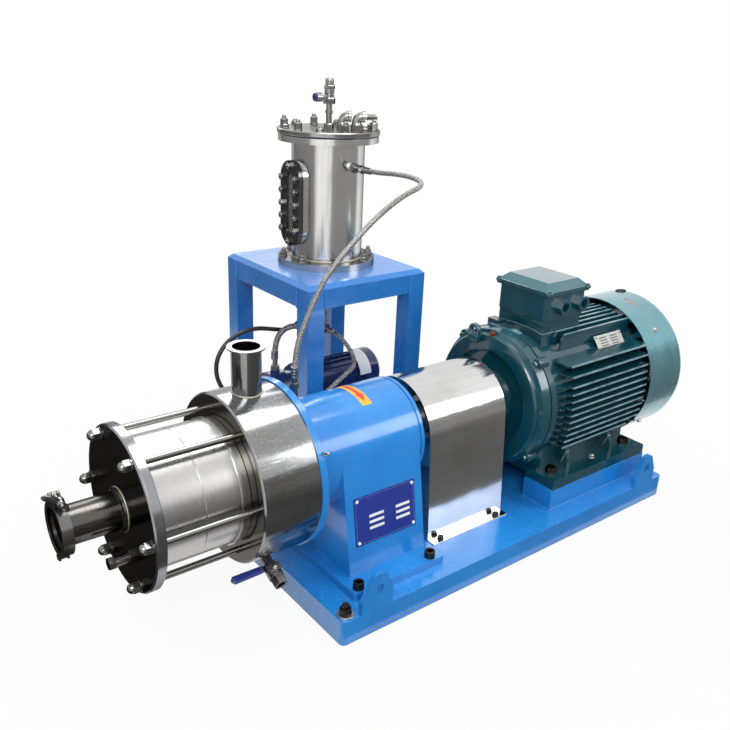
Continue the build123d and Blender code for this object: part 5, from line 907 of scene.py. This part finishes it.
sleeveSettings = {"reach": 0.024, "wall": 0.0021, "grooves": 3, "grooveDepth": 0.0007}
smallLabelSettings = {"centre": (0.479, 0.238), "radius": 0.062, "ends": (-0.006, 0.034),
                      "angles": (8.0, 100.0)}


def makeSleeves(settings):
    bm = bmesh.new()
    for name, values in hoseSettings.items():
        route = [Vector(point) for point in values["route"]]
        radius = values["diameter"] / 2
        full = radius + settings["wall"]
        profile = [(-0.0006, 0), (-0.0006, radius * 0.9), (0, full - 0.0005), (0.0008, full)]
        pitch = (settings["reach"] - 0.004) / settings["grooves"]
        for groove in range(settings["grooves"]):
            start = 0.002 + pitch * groove
            profile += [(start, full), (start + pitch * 0.25, full - settings["grooveDepth"]),
                        (start + pitch * 0.55, full - settings["grooveDepth"]), (start + pitch * 0.8, full)]
        profile += [(settings["reach"] - 0.001, full - 0.0003), (settings["reach"], radius + 0.0002),
                    (settings["reach"], 0)]
        for start, towards in ((route[0], route[1]), (route[-1], route[-2])):
            turnedBit(bm, profile, start, towards - start, 32, 0 if values["braided"] else 1)
    finishPiece("hoseSleeves", bm, ["fittingSteel", "darkSteel"])


def makeSmallLabel(settings):
    bm = bmesh.new()
    patchBit(bm, settings["centre"], settings["radius"], settings["ends"], settings["angles"], 0.0003, 0, 16)
    finishPiece("smallMotorLabel", bm, ["labelAndGlintWhite"])


makeSleeves(sleeveSettings)
makeSmallLabel(smallLabelSettings)
print("hose sleeves made")


# weld beads: overlapping ripples along a line, by Geometry Nodes

weldSettings = {
    "steel": {"width": 0.0042, "pitch": 0.0019, "finish": "weldSteel", "slot": "fitting_steel"},
    "blue": {"width": 0.0062, "pitch": 0.0032, "finish": "skidBlue", "slot": "blue_paint"},
    "stand": {"width": 0.0055, "pitch": 0.0030, "finish": "standBlue", "slot": "stand_paint"},
}


weldPlaces = {
    "outletTube": {"x": -0.618, "tubeRadius": 0.0305, "drumRadius": 0.1802},
    "shaftRings": [(-0.8945, 0.0438), (-0.6775, 0.1312)],
    "vesselRings": [(0.6125, 0.0965), (0.9135, 0.0965)],
    "risers": [((0.137, -0.205), (0.526, -0.113)), ((0.137, 0.113), (0.526, 0.205))],
    "lugs": {"starts": (-0.5035, 0.425), "length": 0.080, "sides": (-0.2465, 0.2465)},
    "deckHeight": 0.0585,
    "legs": [((-0.250, 0.026), (0.2585, 0.6665)), ((-0.3005, 0.0765), (0.309, 0.616))],
    "legHeights": (0.533, 0.583),
}
vesselCentre = (-0.107, 0.4625)


def makeBeadTree():
    tree, given, end = newTree("weldBead", [("Width", "Float", 0.004), ("Pitch", "Float", 0.002),
                                            ("Finish", "Material", None)])
    line = addNode(tree, "GeometryNodeResampleCurve", {"Curve": given["Geometry"], "Length": given["Pitch"]},
                   mode="LENGTH")
    drop = addNode(tree, "GeometryNodeMeshUVSphere", {"Segments": 8, "Rings": 5, "Radius": 1.0})
    tangent = addNode(tree, "GeometryNodeInputTangent").outputs["Tangent"]
    turn = addNode(tree, "FunctionNodeAlignRotationToVector", {"Vector": tangent}, axis="X")
    half = math2(tree, "MULTIPLY", given["Width"], 0.5)
    uneven = addNode(tree, "FunctionNodeRandomValue", {"Min": 0.88, "Max": 1.10, "Seed": 7},
                     data_type="FLOAT")
    uneven = uneven.outputs[1]
    size = addNode(tree, "ShaderNodeCombineXYZ", {0: math2(tree, "MULTIPLY", given["Pitch"], 0.95),
                                                  1: math2(tree, "MULTIPLY", half, uneven),
                                                  2: math2(tree, "MULTIPLY", half, uneven)})
    drops = addNode(tree, "GeometryNodeInstanceOnPoints",
                    {"Points": line.outputs["Curve"], "Instance": drop.outputs["Mesh"],
                     "Rotation": turn.outputs["Rotation"], "Scale": size.outputs[0]})
    smooth = addNode(tree, "GeometryNodeSetShadeSmooth", {"Geometry": drops.outputs["Instances"]})
    whole = addNode(tree, "GeometryNodeRealizeInstances", {"Geometry": smooth.outputs[0]})
    done = painted(tree, whole.outputs[0], given["Finish"])
    tree.links.new(done, end.inputs[0])
    return tree


def circleLine(centre, axis, radius):
    axis = Vector(axis).normalized()
    side = axis.orthogonal().normalized()
    up = axis.cross(side)
    steps = 90
    points = []
    for step in range(steps + 1):
        turn = math.radians(360.0 * step / steps)
        points.append(Vector(centre) + (side * math.cos(turn) + up * math.sin(turn)) * radius)
    return points


def saddleLine(x, tubeRadius, drumRadius):
    # where an upright tube meets the drum that lies along the shaft
    points = []
    for step in range(97):
        turn = 2 * math.pi * step / 96
        y = tubeRadius * math.sin(turn)
        points.append(Vector((x + tubeRadius * math.cos(turn), y,
                              shaftHeight + math.sqrt(drumRadius ** 2 - y * y))))
    return points


def boxLine(low, high, z):
    return [Vector((x, y, z)) for x,
            y in ((low[0], low[1]), (high[0], low[1]), (high[0], high[1]), (low[0], high[1]),
                  (low[0], low[1]))]


def makeWelds(name, lines, settings, tree):
    data = bpy.data.curves.new(name + "Lines", "CURVE")
    data.dimensions = "3D"
    for line in lines:
        spline = data.splines.new("POLY")
        spline.points.add(len(line) - 1)
        for point, place in zip(spline.points, line):
            point.co = (*place, 1.0)
    curve = bpy.data.objects.new(name + "Lines", data)
    grow(curve, tree, {"Width": settings["width"], "Pitch": settings["pitch"],
                       "Finish": materials[settings["finish"]]})
    makeMeshFrom(curve, name)


def steelWeldLines(places):
    lines = [saddleLine(**places["outletTube"])]
    lines += [circleLine((x, 0, shaftHeight), (1, 0, 0), radius) for x, radius in places["shaftRings"]]
    lines += [circleLine((*vesselCentre, z), (0, 0, 1), radius) for z, radius in places["vesselRings"]]
    return lines


def skidWeldLines(places):
    height, lugs = places["deckHeight"], places["lugs"]
    lines = [boxLine(low, high, height) for low, high in places["risers"]]
    lines += [[Vector((x, y, height)), Vector((x + lugs["length"], y, height))]
              for x in lugs["starts"] for y in lugs["sides"]]
    return lines


def standWeldLines(places):
    low, high = places["legHeights"]
    return [[Vector((x, y, low)), Vector((x, y, high))] for xs, ys in places["legs"] for x in xs for y in ys]


beadTree = makeBeadTree()
makeWelds("steelWelds", steelWeldLines(weldPlaces), weldSettings["steel"], beadTree)
makeWelds("skidWelds", skidWeldLines(weldPlaces), weldSettings["blue"], beadTree)
makeWelds("standWelds", standWeldLines(weldPlaces), weldSettings["stand"], beadTree)
print("welds made")


# bolts set out by Geometry Nodes: a washer, a chamfered nut and a stud end on every point

boltSettings = {
    "vesselBolts": {"flats": 0.0172, "washer": 0.0112, "washerHeight": 0.0020, "stud": 0.0054,
                    "finish": "fittingSteel", "slot": "fitting_steel", "replaces": "vessel_bolts"},
    "sightBolts": {"flats": 0.0160, "washer": 0.0, "washerHeight": 0.0, "stud": 0.0040,
                   "finish": "fittingSteel", "slot": "fitting_steel", "replaces": "sight_bolts"},
    # the steel rivet heads are drawn white: a painted glint
    "plateRivets": {"flats": 0.0, "washer": 0.0, "washerHeight": 0.0, "stud": 0.0038,
                    "finish": "labelAndGlintWhite", "slot": "zinc_steel", "replaces": None},
}


vesselBoltRings = {
    "radius": 0.118,
    "rings": [
        {"count": 12, "first": 15.0, "height": 0.945, "tall": (0.0190, 0.0270), "low": (0.0090, 0.0130)},
        {"count": 8, "first": 22.5, "height": 0.612, "tall": (0.0110, 0.0200), "low": (0.0110, 0.0200)},
    ],
}
sightBoltPlaces = {
    "face": -0.226, "middle": 0.759, "side": 0.031, "pitch": 0.033, "end": 0.097, "nut": 0.0095,
    "stud": 0.0125,
}
rivetSettings = {"inset": 0.0075, "reach": 0.0022}


def makeBoltTree():
    tree, given, end = newTree("bolts", [
        ("Flats", "Float", 0.017), ("Washer", "Float", 0.010), ("Washer Height", "Float", 0.002),
        ("Stud", "Float", 0.005), ("Seed", "Int", 5), ("Finish", "Material", None)])
    points = addNode(tree, "GeometryNodeMeshToPoints",
                     {"Mesh": given["Geometry"], "Radius": 0.001}).outputs[0]

    def named(name, kind):
        return addNode(tree, "GeometryNodeInputNamedAttribute", {"Name": name},
                       data_type=kind).outputs["Attribute"]

    turn = addNode(tree, "FunctionNodeAlignRotationToVector", {"Vector": named("facing", "FLOAT_VECTOR")},
                   axis="Z")
    angle = addNode(tree, "FunctionNodeRandomValue", {"Min": 0.0, "Max": 1.047, "Seed": given["Seed"]},
                    data_type="FLOAT").outputs[1]
    spin = addNode(tree, "FunctionNodeAxisAngleToRotation", {"Axis": (0.0, 0.0, 1.0), "Angle": angle})
    both = addNode(tree, "FunctionNodeRotateRotation",
                   {"Rotation": turn.outputs["Rotation"], "Rotate By": spin.outputs["Rotation"]},
                   rotation_space="LOCAL")
    whole = addNode(tree, "GeometryNodeJoinGeometry")

    def stack(sides, edge, scale):
        # a prism one unit tall and one unit in radius, its top edge chamfered
        lower = addNode(tree, "GeometryNodeMeshCylinder",
                        {"Vertices": sides, "Radius": 1.0, "Depth": 1.0 - edge})
        lower = addNode(tree, "GeometryNodeTransform", {"Geometry": lower.outputs["Mesh"],
                                                        "Translation": (0.0, 0.0, (1.0 - edge) / 2)})
        upper = addNode(tree, "GeometryNodeMeshCone", {"Vertices": sides, "Radius Top": 1.0 - edge,
                                                       "Radius Bottom": 1.0, "Depth": edge})
        upper = addNode(tree, "GeometryNodeTransform", {"Geometry": upper.outputs["Mesh"],
                                                        "Translation": (0.0, 0.0, 1.0 - edge)})
        prism = addNode(tree, "GeometryNodeJoinGeometry")
        tree.links.new(lower.outputs[0], prism.inputs[0])
        tree.links.new(upper.outputs[0], prism.inputs[0])
        size = addNode(tree, "ShaderNodeCombineXYZ", dict(enumerate(scale)))
        placed = addNode(tree, "GeometryNodeInstanceOnPoints",
                         {"Points": points, "Instance": prism.outputs[0],
                          "Rotation": both.outputs["Rotation"],
                          "Scale": size.outputs[0]})
        tree.links.new(placed.outputs["Instances"], whole.inputs[0])

    nut = math2(tree, "MULTIPLY", given["Flats"], 1.0 / math.sqrt(3.0))
    stack(28, 0.16, (given["Washer"], given["Washer"], given["Washer Height"]))
    stack(6, 0.14, (nut, nut, named("nutHeight", "FLOAT")))
    stack(18, 0.10, (given["Stud"], given["Stud"], named("studReach", "FLOAT")))
    real = addNode(tree, "GeometryNodeRealizeInstances", {"Geometry": whole.outputs[0]})
    done = painted(tree, real.outputs[0], given["Finish"])
    tree.links.new(done, end.inputs[0])
    return tree


def makeBolts(name, rows, tree):
    # rows holds, for every bolt, its seat, the way it faces, the nut's height and the stud's reach
    settings = boltSettings[name]
    bm = bmesh.new()
    facing = bm.verts.layers.float_vector.new("facing")
    nutHeight = bm.verts.layers.float.new("nutHeight")
    studReach = bm.verts.layers.float.new("studReach")
    for seat, way, height, reach in rows:
        vertex = bm.verts.new(seat)
        vertex[facing] = Vector(way)
        vertex[nutHeight] = height
        vertex[studReach] = reach
    holder = bpy.data.objects.new(name + "Points", meshOf(name + "Points", bm))
    grow(holder, tree, {"Flats": settings["flats"], "Washer": settings["washer"],
                        "Washer Height": settings["washerHeight"], "Stud": settings["stud"],
                        "Finish": materials[settings["finish"]]})
    replaced = (settings["replaces"],) if settings["replaces"] else ()
    piece = makeMeshFrom(holder, name, replaced=replaced)
    piece.data.polygons.foreach_set("use_smooth", [True] * len(piece.data.polygons))
    piece.data.set_sharp_from_angle(angle=math.radians(38))


def vesselBoltRows():
    rows = []
    radius = vesselBoltRings["radius"]
    for ring in vesselBoltRings["rings"]:
        for step in range(ring["count"]):
            turn = math.radians(ring["first"] + 360.0 * step / ring["count"])
            seat = (vesselCentre[0] + radius * math.cos(turn), vesselCentre[1] + radius * math.sin(turn),
                    ring["height"])
            nut, stud = ring["low"] if step % 2 else ring["tall"]
            rows.append((seat, (0, 0, 1), nut, stud))
    return rows


def sightBoltRows():
    places = sightBoltPlaces
    spots = [(side * places["side"], (step - 2) * places["pitch"]) for side in (-1, 1) for step in range(5)]
    spots += [(0, places["end"]), (0, -places["end"])]
    return [((places["face"], vesselCentre[1] + across, places["middle"] + rise), (-1, 0, 0), places["nut"],
             places["stud"]) for across, rise in spots]


def plateRivetRows():
    point, out, across, up, (left, right), (bottom, top) = plateFrame()
    inset, reach = rivetSettings["inset"], rivetSettings["reach"]
    return [(point + across * u + up * v, out, 0.0, reach)
            for u in (left + inset, right - inset) for v in (bottom + inset, top - inset)]


boltTree = makeBoltTree()
makeBolts("vesselBolts", vesselBoltRows(), boltTree)
makeBolts("sightBolts", sightBoltRows(), boltTree)
makeBolts("plateRivets", plateRivetRows(), boltTree)
print("bolts made")


# the pressed grille behind the fan cowl's windows: six-sided cells set out by Geometry Nodes

grilleSettings = {"x": 0.6665, "depth": 0.0090, "pitch": 0.0068, "cell": 0.0067, "ends": (0.044, 0.145)}


def makeCellTree():
    tree, given, end = newTree("cells", [("Cell", "Float", 0.006), ("Depth", "Float", 0.005),
                                         ("Finish", "Material", None)])
    points = addNode(tree, "GeometryNodeMeshToPoints",
                     {"Mesh": given["Geometry"], "Radius": 0.001}).outputs[0]
    cell = addNode(tree, "GeometryNodeMeshCylinder",
                   {"Vertices": 6, "Radius": math2(tree, "MULTIPLY", given["Cell"], 1.0 / math.sqrt(3.0)),
                    "Depth": given["Depth"]}, fill_type="NONE")
    placed = addNode(tree, "GeometryNodeInstanceOnPoints",
                     {"Points": points, "Instance": cell.outputs["Mesh"],
                      "Rotation": (0.0, math.pi / 2, 0.0)})
    real = addNode(tree, "GeometryNodeRealizeInstances", {"Geometry": placed.outputs["Instances"]})
    done = painted(tree, real.outputs[0], given["Finish"])
    tree.links.new(done, end.inputs[0])
    return tree


def makeGrille(settings):
    low, high = settings["ends"]
    pitch = settings["pitch"]
    count = int(high / pitch) + 2
    bm = bmesh.new()
    for row in range(-count, count + 1):
        for column in range(-count, count + 1):
            across = (column + (row % 2) / 2) * pitch
            rise = row * pitch * math.sqrt(0.75)
            if low < math.hypot(across, rise) < high:
                bm.verts.new((settings["x"], across, shaftHeight + rise))
    holder = bpy.data.objects.new("grillePoints", meshOf("grillePoints", bm))
    grow(holder, makeCellTree(), {"Cell": settings["cell"], "Depth": settings["depth"],
                                  "Finish": materials["motorGreen"]})
    makeMeshFrom(holder, "cowlGrille")


makeGrille(grilleSettings)
print("grille made")


# fittings drawn fuller than the plain solids, and the washers under the anchor bolts

fittingSettings = {
    "elbows": {"ports": [(-0.0787, 0.44025), (-0.0504, 0.4180)], "base": 0.945, "way": (0.786, -0.618, 0.0),
               "flats": 0.029, "width": 0.0245, "bend": 0.0145, "barbs": (False, True)},
    "valve": {"place": (-0.107, 0.4625, 0.945), "neck": 0.0076, "flats": 0.0285, "arm": 0.0760},
    "wing": {"place": (-1.007, 0.013, 0.374), "lobes": (0.040, 0.020), "tilt": 47.0},
    "grip": {"middle": (-0.632, -0.12403, 0.1365), "rise": 0.03075, "tilt": 25.0, "ends": (0.037, 0.104)},
    "washers": {"places": [(-0.530, -0.237, 0.058), (-0.530, 0.237, 0.058)], "radius": 0.0190,
                "height": 0.0036},
}


def sweepBit(bm, centres, normal, widths, depths, sections, square=1.0):
    # a bar through the centres; its widths lie across the normal and its depths along it
    normal = Vector(normal).normalized()

    def rounded(value):
        return math.copysign(abs(value) ** square, value)

    rings = []
    for step, centre in enumerate(centres):
        ahead = Vector(centres[min(step + 1, len(centres) - 1)]) - Vector(centres[max(step - 1, 0)])
        side = ahead.normalized().cross(normal)
        ring = []
        for section in range(sections):
            turn = 2 * math.pi * section / sections
            ring.append(bm.verts.new(Vector(centre) + side * widths[step] / 2 * rounded(math.cos(turn))
                                     + normal * depths[step] / 2 * rounded(math.sin(turn))))
        rings.append(ring)
    made = []
    for first, second in zip(rings, rings[1:]):
        for section in range(sections):
            after = (section + 1) % sections
            made.append(bm.faces.new((first[section], first[after], second[after], second[section])))
    made += [bm.faces.new(rings[0]), bm.faces.new(rings[-1])]
    for face in made:
        face.smooth = True


def makeElbows(settings):
    bm = bmesh.new()
    way = Vector(settings["way"]).normalized()
    upward = Vector((0, 0, 1))
    width, bend = settings["width"], settings["bend"]
    for (x, y), barb in zip(settings["ports"], settings["barbs"]):
        seat = Vector((x, y, settings["base"]))
        hexBit(bm, seat, upward, settings["flats"], 0.012)
        turnedBit(bm, [(0.010, 0), (0.010, width / 2 + 0.001), (0.015, width / 2 + 0.001),
                       (0.0165, width / 2), (0.0165, 0)], seat, upward, 32)
        knee = seat + upward * 0.0165
        turns = [math.pi / 2 * step / 10 for step in range(11)]
        centres = [knee + way * bend * (1 - math.cos(turn)) + upward * bend * math.sin(turn)
                   for turn in turns]
        sweepBit(bm, centres, way.cross(upward), [width] * 11, [width] * 11, sections=28)
        mouth = centres[-1]
        rim = width / 2 + 0.0018
        profile = [(-0.001, 0), (-0.001, width / 2), (0.001, rim), (0.0070, rim), (0.0078, rim - 0.001)]
        profile += [(0.0078, 0.0082), (0.002, 0.0082), (0.002, 0)]
        turnedBit(bm, profile, mouth, way, 32)
        if barb:
            stem = [(0, 0), (0, 0.0070), (0.012, 0.0070)]
            for ridge in range(4):
                start = 0.012 + ridge * 0.0062
                stem += [(start + 0.0008, 0.0084), (start + 0.0052, 0.0068)]
            stem += [(0.0385, 0.0064), (0.0385, 0.0045), (0.020, 0.0045), (0.020, 0)]
            turnedBit(bm, stem, mouth, way, 28)
    finishPiece("lidElbows", bm, ["fittingSteel"], replaced=("lid_elbows",))


def makeFillingValve(settings):
    bm = bmesh.new()
    seat, upward = Vector(settings["place"]), Vector((0, 0, 1))
    neck = settings["neck"]
    turnedBit(bm, [(0, 0), (0, 0.013), (0.010, 0.013), (0.012, 0.011), (0.012, neck), (0.036, neck),
                   (0.0365, neck + 0.002), (0.044, neck + 0.002), (0.0445, neck), (0.061, neck), (0.061, 0)],
              seat, upward, 36)
    hexBit(bm, seat + upward * 0.060, upward, settings["flats"], 0.015)
    turnedBit(bm, [(0.074, 0), (0.074, 0.0122), (0.083, 0.0122), (0.084, 0.0112), (0.086, 0.0112),
                   (0.087, 0.0126), (0.096, 0.0126), (0.097, 0.0110), (0.097, 0)], seat, upward, 36)
    hexBit(bm, seat + upward * 0.0965, upward, settings["flats"] - 0.003, 0.0085)
    left = Vector((-1, 0, 0))
    arm = seat + upward * settings["arm"]
    turnedBit(bm, [(0, 0), (0, 0.0082), (0.020, 0.0082), (0.020, 0.0098), (0.022, 0.0106), (0.024, 0.0098),
                   (0.026, 0.0106), (0.028, 0.0098), (0.028, 0.0112), (0.0400, 0.0112), (0.0412, 0.0102),
                   (0.0412, 0)], arm, left, 36)
    hexBit(bm, arm + left * 0.011, left, 0.0195, 0.009)
    finishPiece("fillingValve", bm, ["fittingSteel"], replaced=("filling_valve",))
    bm = bmesh.new()
    profile = [(0.105, 0), (0.105, 0.0098), (0.106, 0.0112)]
    for groove in range(4):
        start = 0.1075 + groove * 0.0026
        profile += [(start, 0.0112), (start + 0.0005, 0.0106), (start + 0.0011, 0.0106),
                    (start + 0.0016, 0.0112)]
    profile += [(0.1190, 0.0108), (0.1215, 0.0085), (0.1218, 0.0050), (0.1218, 0)]
    turnedBit(bm, profile, seat, upward, 36)
    finishPiece("valveKnob", bm, ["fittingSteel"], "knob", replaced=("valve_knob",))


def makeWingBolt(settings):
    bm = bmesh.new()
    pin = Vector(settings["place"])
    outward = Vector((0, -1, 0))
    turnedBit(bm, [(-0.0045, 0), (-0.0045, 0.0055), (-0.0038, 0.0062), (0.0038, 0.0062), (0.0045, 0.0055),
                   (0.0045, 0)], pin, (1, 0, 0), 28)
    thread = [(0.003, 0), (0.003, 0.0040)]
    for ridge in range(20):
        start = 0.018 + ridge * 0.0016
        thread += [(start, 0.0040), (start + 0.0008, 0.0036)]
    thread += [(0.0505, 0.0038), (0.0510, 0.0032), (0.0510, 0)]
    turnedBit(bm, thread, pin, outward, 24)
    turnedBit(bm, [(0.0264, 0), (0.0264, 0.0092), (0.028, 0.0098), (0.034, 0.0088), (0.042, 0.0074),
                   (0.0435, 0.0060), (0.0435, 0)], pin, outward, 32)
    tilt = math.radians(settings["tilt"])
    rise = Vector((-math.cos(tilt), 0, math.sin(tilt)))
    hub = pin + outward * 0.036
    for way, reach in ((rise, settings["lobes"][0]), (-rise, settings["lobes"][1])):
        steps = 9
        lift = Vector((way.z, 0, -way.x)) * (1 if way is rise else -1)
        centres = [hub + way * reach * step / steps - lift * 0.006 * (step / steps) ** 2
                   + outward * 0.004 * step / steps for step in range(steps + 1)]
        widths = [0.0095 + 0.0045 * math.sin(math.pi * step / steps) for step in range(steps)] + [0.0045]
        depths = [0.0085 - 0.0040 * step / steps for step in range(steps)] + [0.0022]
        sweepBit(bm, centres, outward, widths, depths, sections=18)
    finishPiece("wingBolt", bm, ["nutSteel"], "clamp_bolt",
                replaced=("clamp_swing_bolt",))


def makeGrip(settings):
    tilt = math.radians(settings["tilt"])
    upward = Vector((0, -math.sin(tilt), math.cos(tilt)))
    start, end = settings["ends"]
    middle = Vector(settings["middle"]) + upward * settings["rise"]
    steps = 14
    centres, widths, depths = [], [], []
    for step in range(steps + 1):
        share = step / steps
        centres.append(middle - Vector((1, 0, 0)) * (start + (end - start) * share))
        taper = math.sqrt(max(0.0, 1 - max(0.0, (share - 0.90) / 0.10) ** 2))
        widths.append((0.0158 + 0.0018 * share) * max(taper, 0.35))
        depths.append(0.0070 * max(taper, 0.55) * (0.86 if step == 0 else 1.0))
    bm = bmesh.new()
    sweepBit(bm, centres, upward, widths, depths, sections=28, square=0.62)
    finishPiece("leverGrip", bm, ["sleeveBlue"], "drain", replaced=("lever_sleeve",))


def makeWashers(settings):
    bm = bmesh.new()
    reach, height = settings["radius"], settings["height"]
    for place in settings["places"]:
        turnedBit(bm, [(0, 0), (0, reach), (height - 0.0005, reach), (height, reach - 0.0006), (height, 0)],
                  place, (0, 0, 1), 40)
    finishPiece("anchorWashers", bm, ["zincSteel"])


makeElbows(fittingSettings["elbows"])
makeFillingValve(fittingSettings["valve"])
makeWingBolt(fittingSettings["wing"])
makeGrip(fittingSettings["grip"])
makeWashers(fittingSettings["washers"])
print("fittings made")


# floor, sky and lamps of a plain pale studio, and glowing cards that paint dark reflections into polished
# metal

stageSettings = {
    "floorColour": (0.62, 0.61, 0.595),
    "floorGlow": 0.93,
    "fadeFrom": 0.75,
    "fadeTo": 1.6,
    "floorRadius": 14.0,
    "skyTop": 1.0,
    "skyMiddle": 0.42,
    "skyLow": 0.16,
    # glowing cards seen only in polished metal: painted dark reflections
    "cards": {
        "frontCard": {"near": [(-1.00, -0.275), (1.35, -0.275)], "turns": (-118, -12), "radius": 3.3,
                      "height": 1.20, "dark": (0.120, 0.119, 0.118), "pale": (0.290, 0.285, 0.275)},
        "sideCard": {"near": [(-0.92, 0.95), (-0.92, -0.45)], "turns": (100, 188), "radius": 3.3,
                     "height": 0.90, "dark": (0.062, 0.060, 0.058), "pale": (0.200, 0.195, 0.188)},
    },
    "lamps": {
        "keyLamp": {"place": (-2.4, -2.6, 3.0), "size": 1.8, "power": 88},
        "fillLamp": {"place": (2.2, -3.0, 2.2), "size": 1.6, "power": 40},
        "rimLamp": {"place": (0.8, 3.2, 2.6), "size": 2.0, "power": 50},
        "topLamp": {"place": (0.3, 0.2, 3.4), "size": 1.6, "power": 44},
    },
}


def seenDirectly(tree):
    # one where the camera sees it, by itself, through glass or mirrored in metal
    path = addNode(tree, "ShaderNodeLightPath").outputs
    either = math2(tree, "MAXIMUM", path["Is Camera Ray"], path["Is Transmission Ray"])
    return math2(tree, "MAXIMUM", either, path["Is Glossy Ray"])


def makeFloor(settings):
    bm = bmesh.new()
    bmesh.ops.create_circle(bm, cap_ends=True, segments=96, radius=settings["floorRadius"])
    for vertex in bm.verts:
        vertex.co.z = -0.0005
    mesh = meshOf("floor", bm)
    floor = bpy.data.objects.new("floor", mesh)
    scene.collection.objects.link(floor)
    material, tree = emptyMaterial("floorWhite")
    place = addNode(tree, "ShaderNodeTexCoord").outputs["Object"]
    tint = noise(tree, place, 3.0, 2.0)
    colour = mixColour(tree, tint, settings["floorColour"], tuple(c * 0.97 for c in settings["floorColour"]))
    shader = addNode(tree, "ShaderNodeBsdfDiffuse", {"Color": colour, "Roughness": 0.5})
    white = addNode(tree, "ShaderNodeEmission", {"Color": (1.0, 1.0, 1.0, 1.0), "Strength": 1.0})
    reach = addNode(tree, "ShaderNodeVectorMath", {0: place}, operation="LENGTH").outputs["Value"]
    glow = remap(tree, reach, settings["fadeFrom"], settings["fadeTo"], settings["floorGlow"], 1.0)
    fade = math2(tree, "MULTIPLY", glow, seenDirectly(tree))
    both = addNode(tree, "ShaderNodeMixShader", {0: fade, 1: shader.outputs[0], 2: white.outputs[0]})
    addNode(tree, "ShaderNodeOutputMaterial", {"Surface": both.outputs[0]})
    mesh.materials.append(material)


def makeCard(name, settings):
    # a glowing dark card that lies beside the skid and stands up at its far edge: a painted reflection that
    # only polished metal shows
    bm = bmesh.new()
    near = [Vector((x, y, 0.0012)) for x, y in settings["near"]]
    low, high = settings["turns"]
    steps = 24
    rows = []
    for step in range(steps + 1):
        turn = math.radians(low + (high - low) * step / steps)
        edge = Vector((math.cos(turn), math.sin(turn), 0)) * settings["radius"]
        places = [near[0].lerp(near[1], step / steps), edge + Vector((0, 0, 0.0012)),
                  edge + Vector((0, 0, settings["height"]))]
        rows.append([bm.verts.new(place) for place in places])
    for first, second in zip(rows, rows[1:]):
        for row in (0, 1):
            bm.faces.new((first[row], first[row + 1], second[row + 1], second[row]))
    mesh = meshOf(name, bm)
    card = bpy.data.objects.new(name, mesh)
    scene.collection.objects.link(card)
    material, tree = emptyMaterial(name)
    place = addNode(tree, "ShaderNodeTexCoord").outputs["Object"]
    reach = addNode(tree, "ShaderNodeVectorMath", {0: place}, operation="LENGTH").outputs["Value"]
    far = remap(tree, reach, 0.5, settings["radius"] * 1.02, 0.0, 1.0)
    tint = math2(tree, "ADD", far, remap(tree, noise(tree, place, 1.6, 3.0), 0.3, 0.7, -0.2, 0.2))
    colour = mixColour(tree, tint, settings["dark"], settings["pale"])
    shader = addNode(tree, "ShaderNodeEmission", {"Color": colour, "Strength": 1.0})
    addNode(tree, "ShaderNodeOutputMaterial", {"Surface": shader.outputs[0]})
    mesh.materials.append(material)
    card.visible_camera = False
    card.visible_diffuse = False
    card.visible_shadow = False
    card.visible_transmission = False


def makeSky(settings):
    world = bpy.data.worlds.new("softStudio")
    world.use_nodes = True
    tree = world.node_tree
    tree.nodes.clear()
    way = addNode(tree, "ShaderNodeTexCoord").outputs["Generated"]
    height = axes(tree, way)["Z"]
    ramp = addNode(tree, "ShaderNodeValToRGB", {"Fac": remap(tree, height, -1.0, 1.0, 0.0, 1.0)})
    ramp.color_ramp.elements[0].position = 0.50
    ramp.color_ramp.elements[0].color = (settings["skyLow"],) * 3 + (1,)
    ramp.color_ramp.elements[1].position = 0.95
    ramp.color_ramp.elements[1].color = (settings["skyTop"], settings["skyTop"], settings["skyTop"] * 1.04, 1)
    middle = ramp.color_ramp.elements.new(0.70)
    middle.color = (settings["skyMiddle"],) * 3 + (1,)
    colour = mixColour(tree, seenDirectly(tree), ramp.outputs["Color"], (1.0, 1.0, 1.0))
    background = addNode(tree, "ShaderNodeBackground", {"Color": colour, "Strength": 1.0})
    addNode(tree, "ShaderNodeOutputWorld", {"Surface": background.outputs["Background"]})
    scene.world = world


def makeLamp(name, settings):
    data = bpy.data.lights.new(name, "AREA")
    data.shape = "SQUARE"
    data.size = settings["size"]
    data.energy = settings["power"]
    lamp = bpy.data.objects.new(name, data)
    lamp.location = settings["place"]
    aim = Vector((0, 0, 0.3)) - lamp.location
    lamp.rotation_euler = aim.to_track_quat("-Z", "Y").to_euler()
    scene.collection.objects.link(lamp)


makeFloor(stageSettings)
for cardName, cardSettings in stageSettings["cards"].items():
    makeCard(cardName, cardSettings)
makeSky(stageSettings)
for lampName, lampSettings in stageSettings["lamps"].items():
    makeLamp(lampName, lampSettings)
scene.view_settings.view_transform = "Standard"
print("stage made")
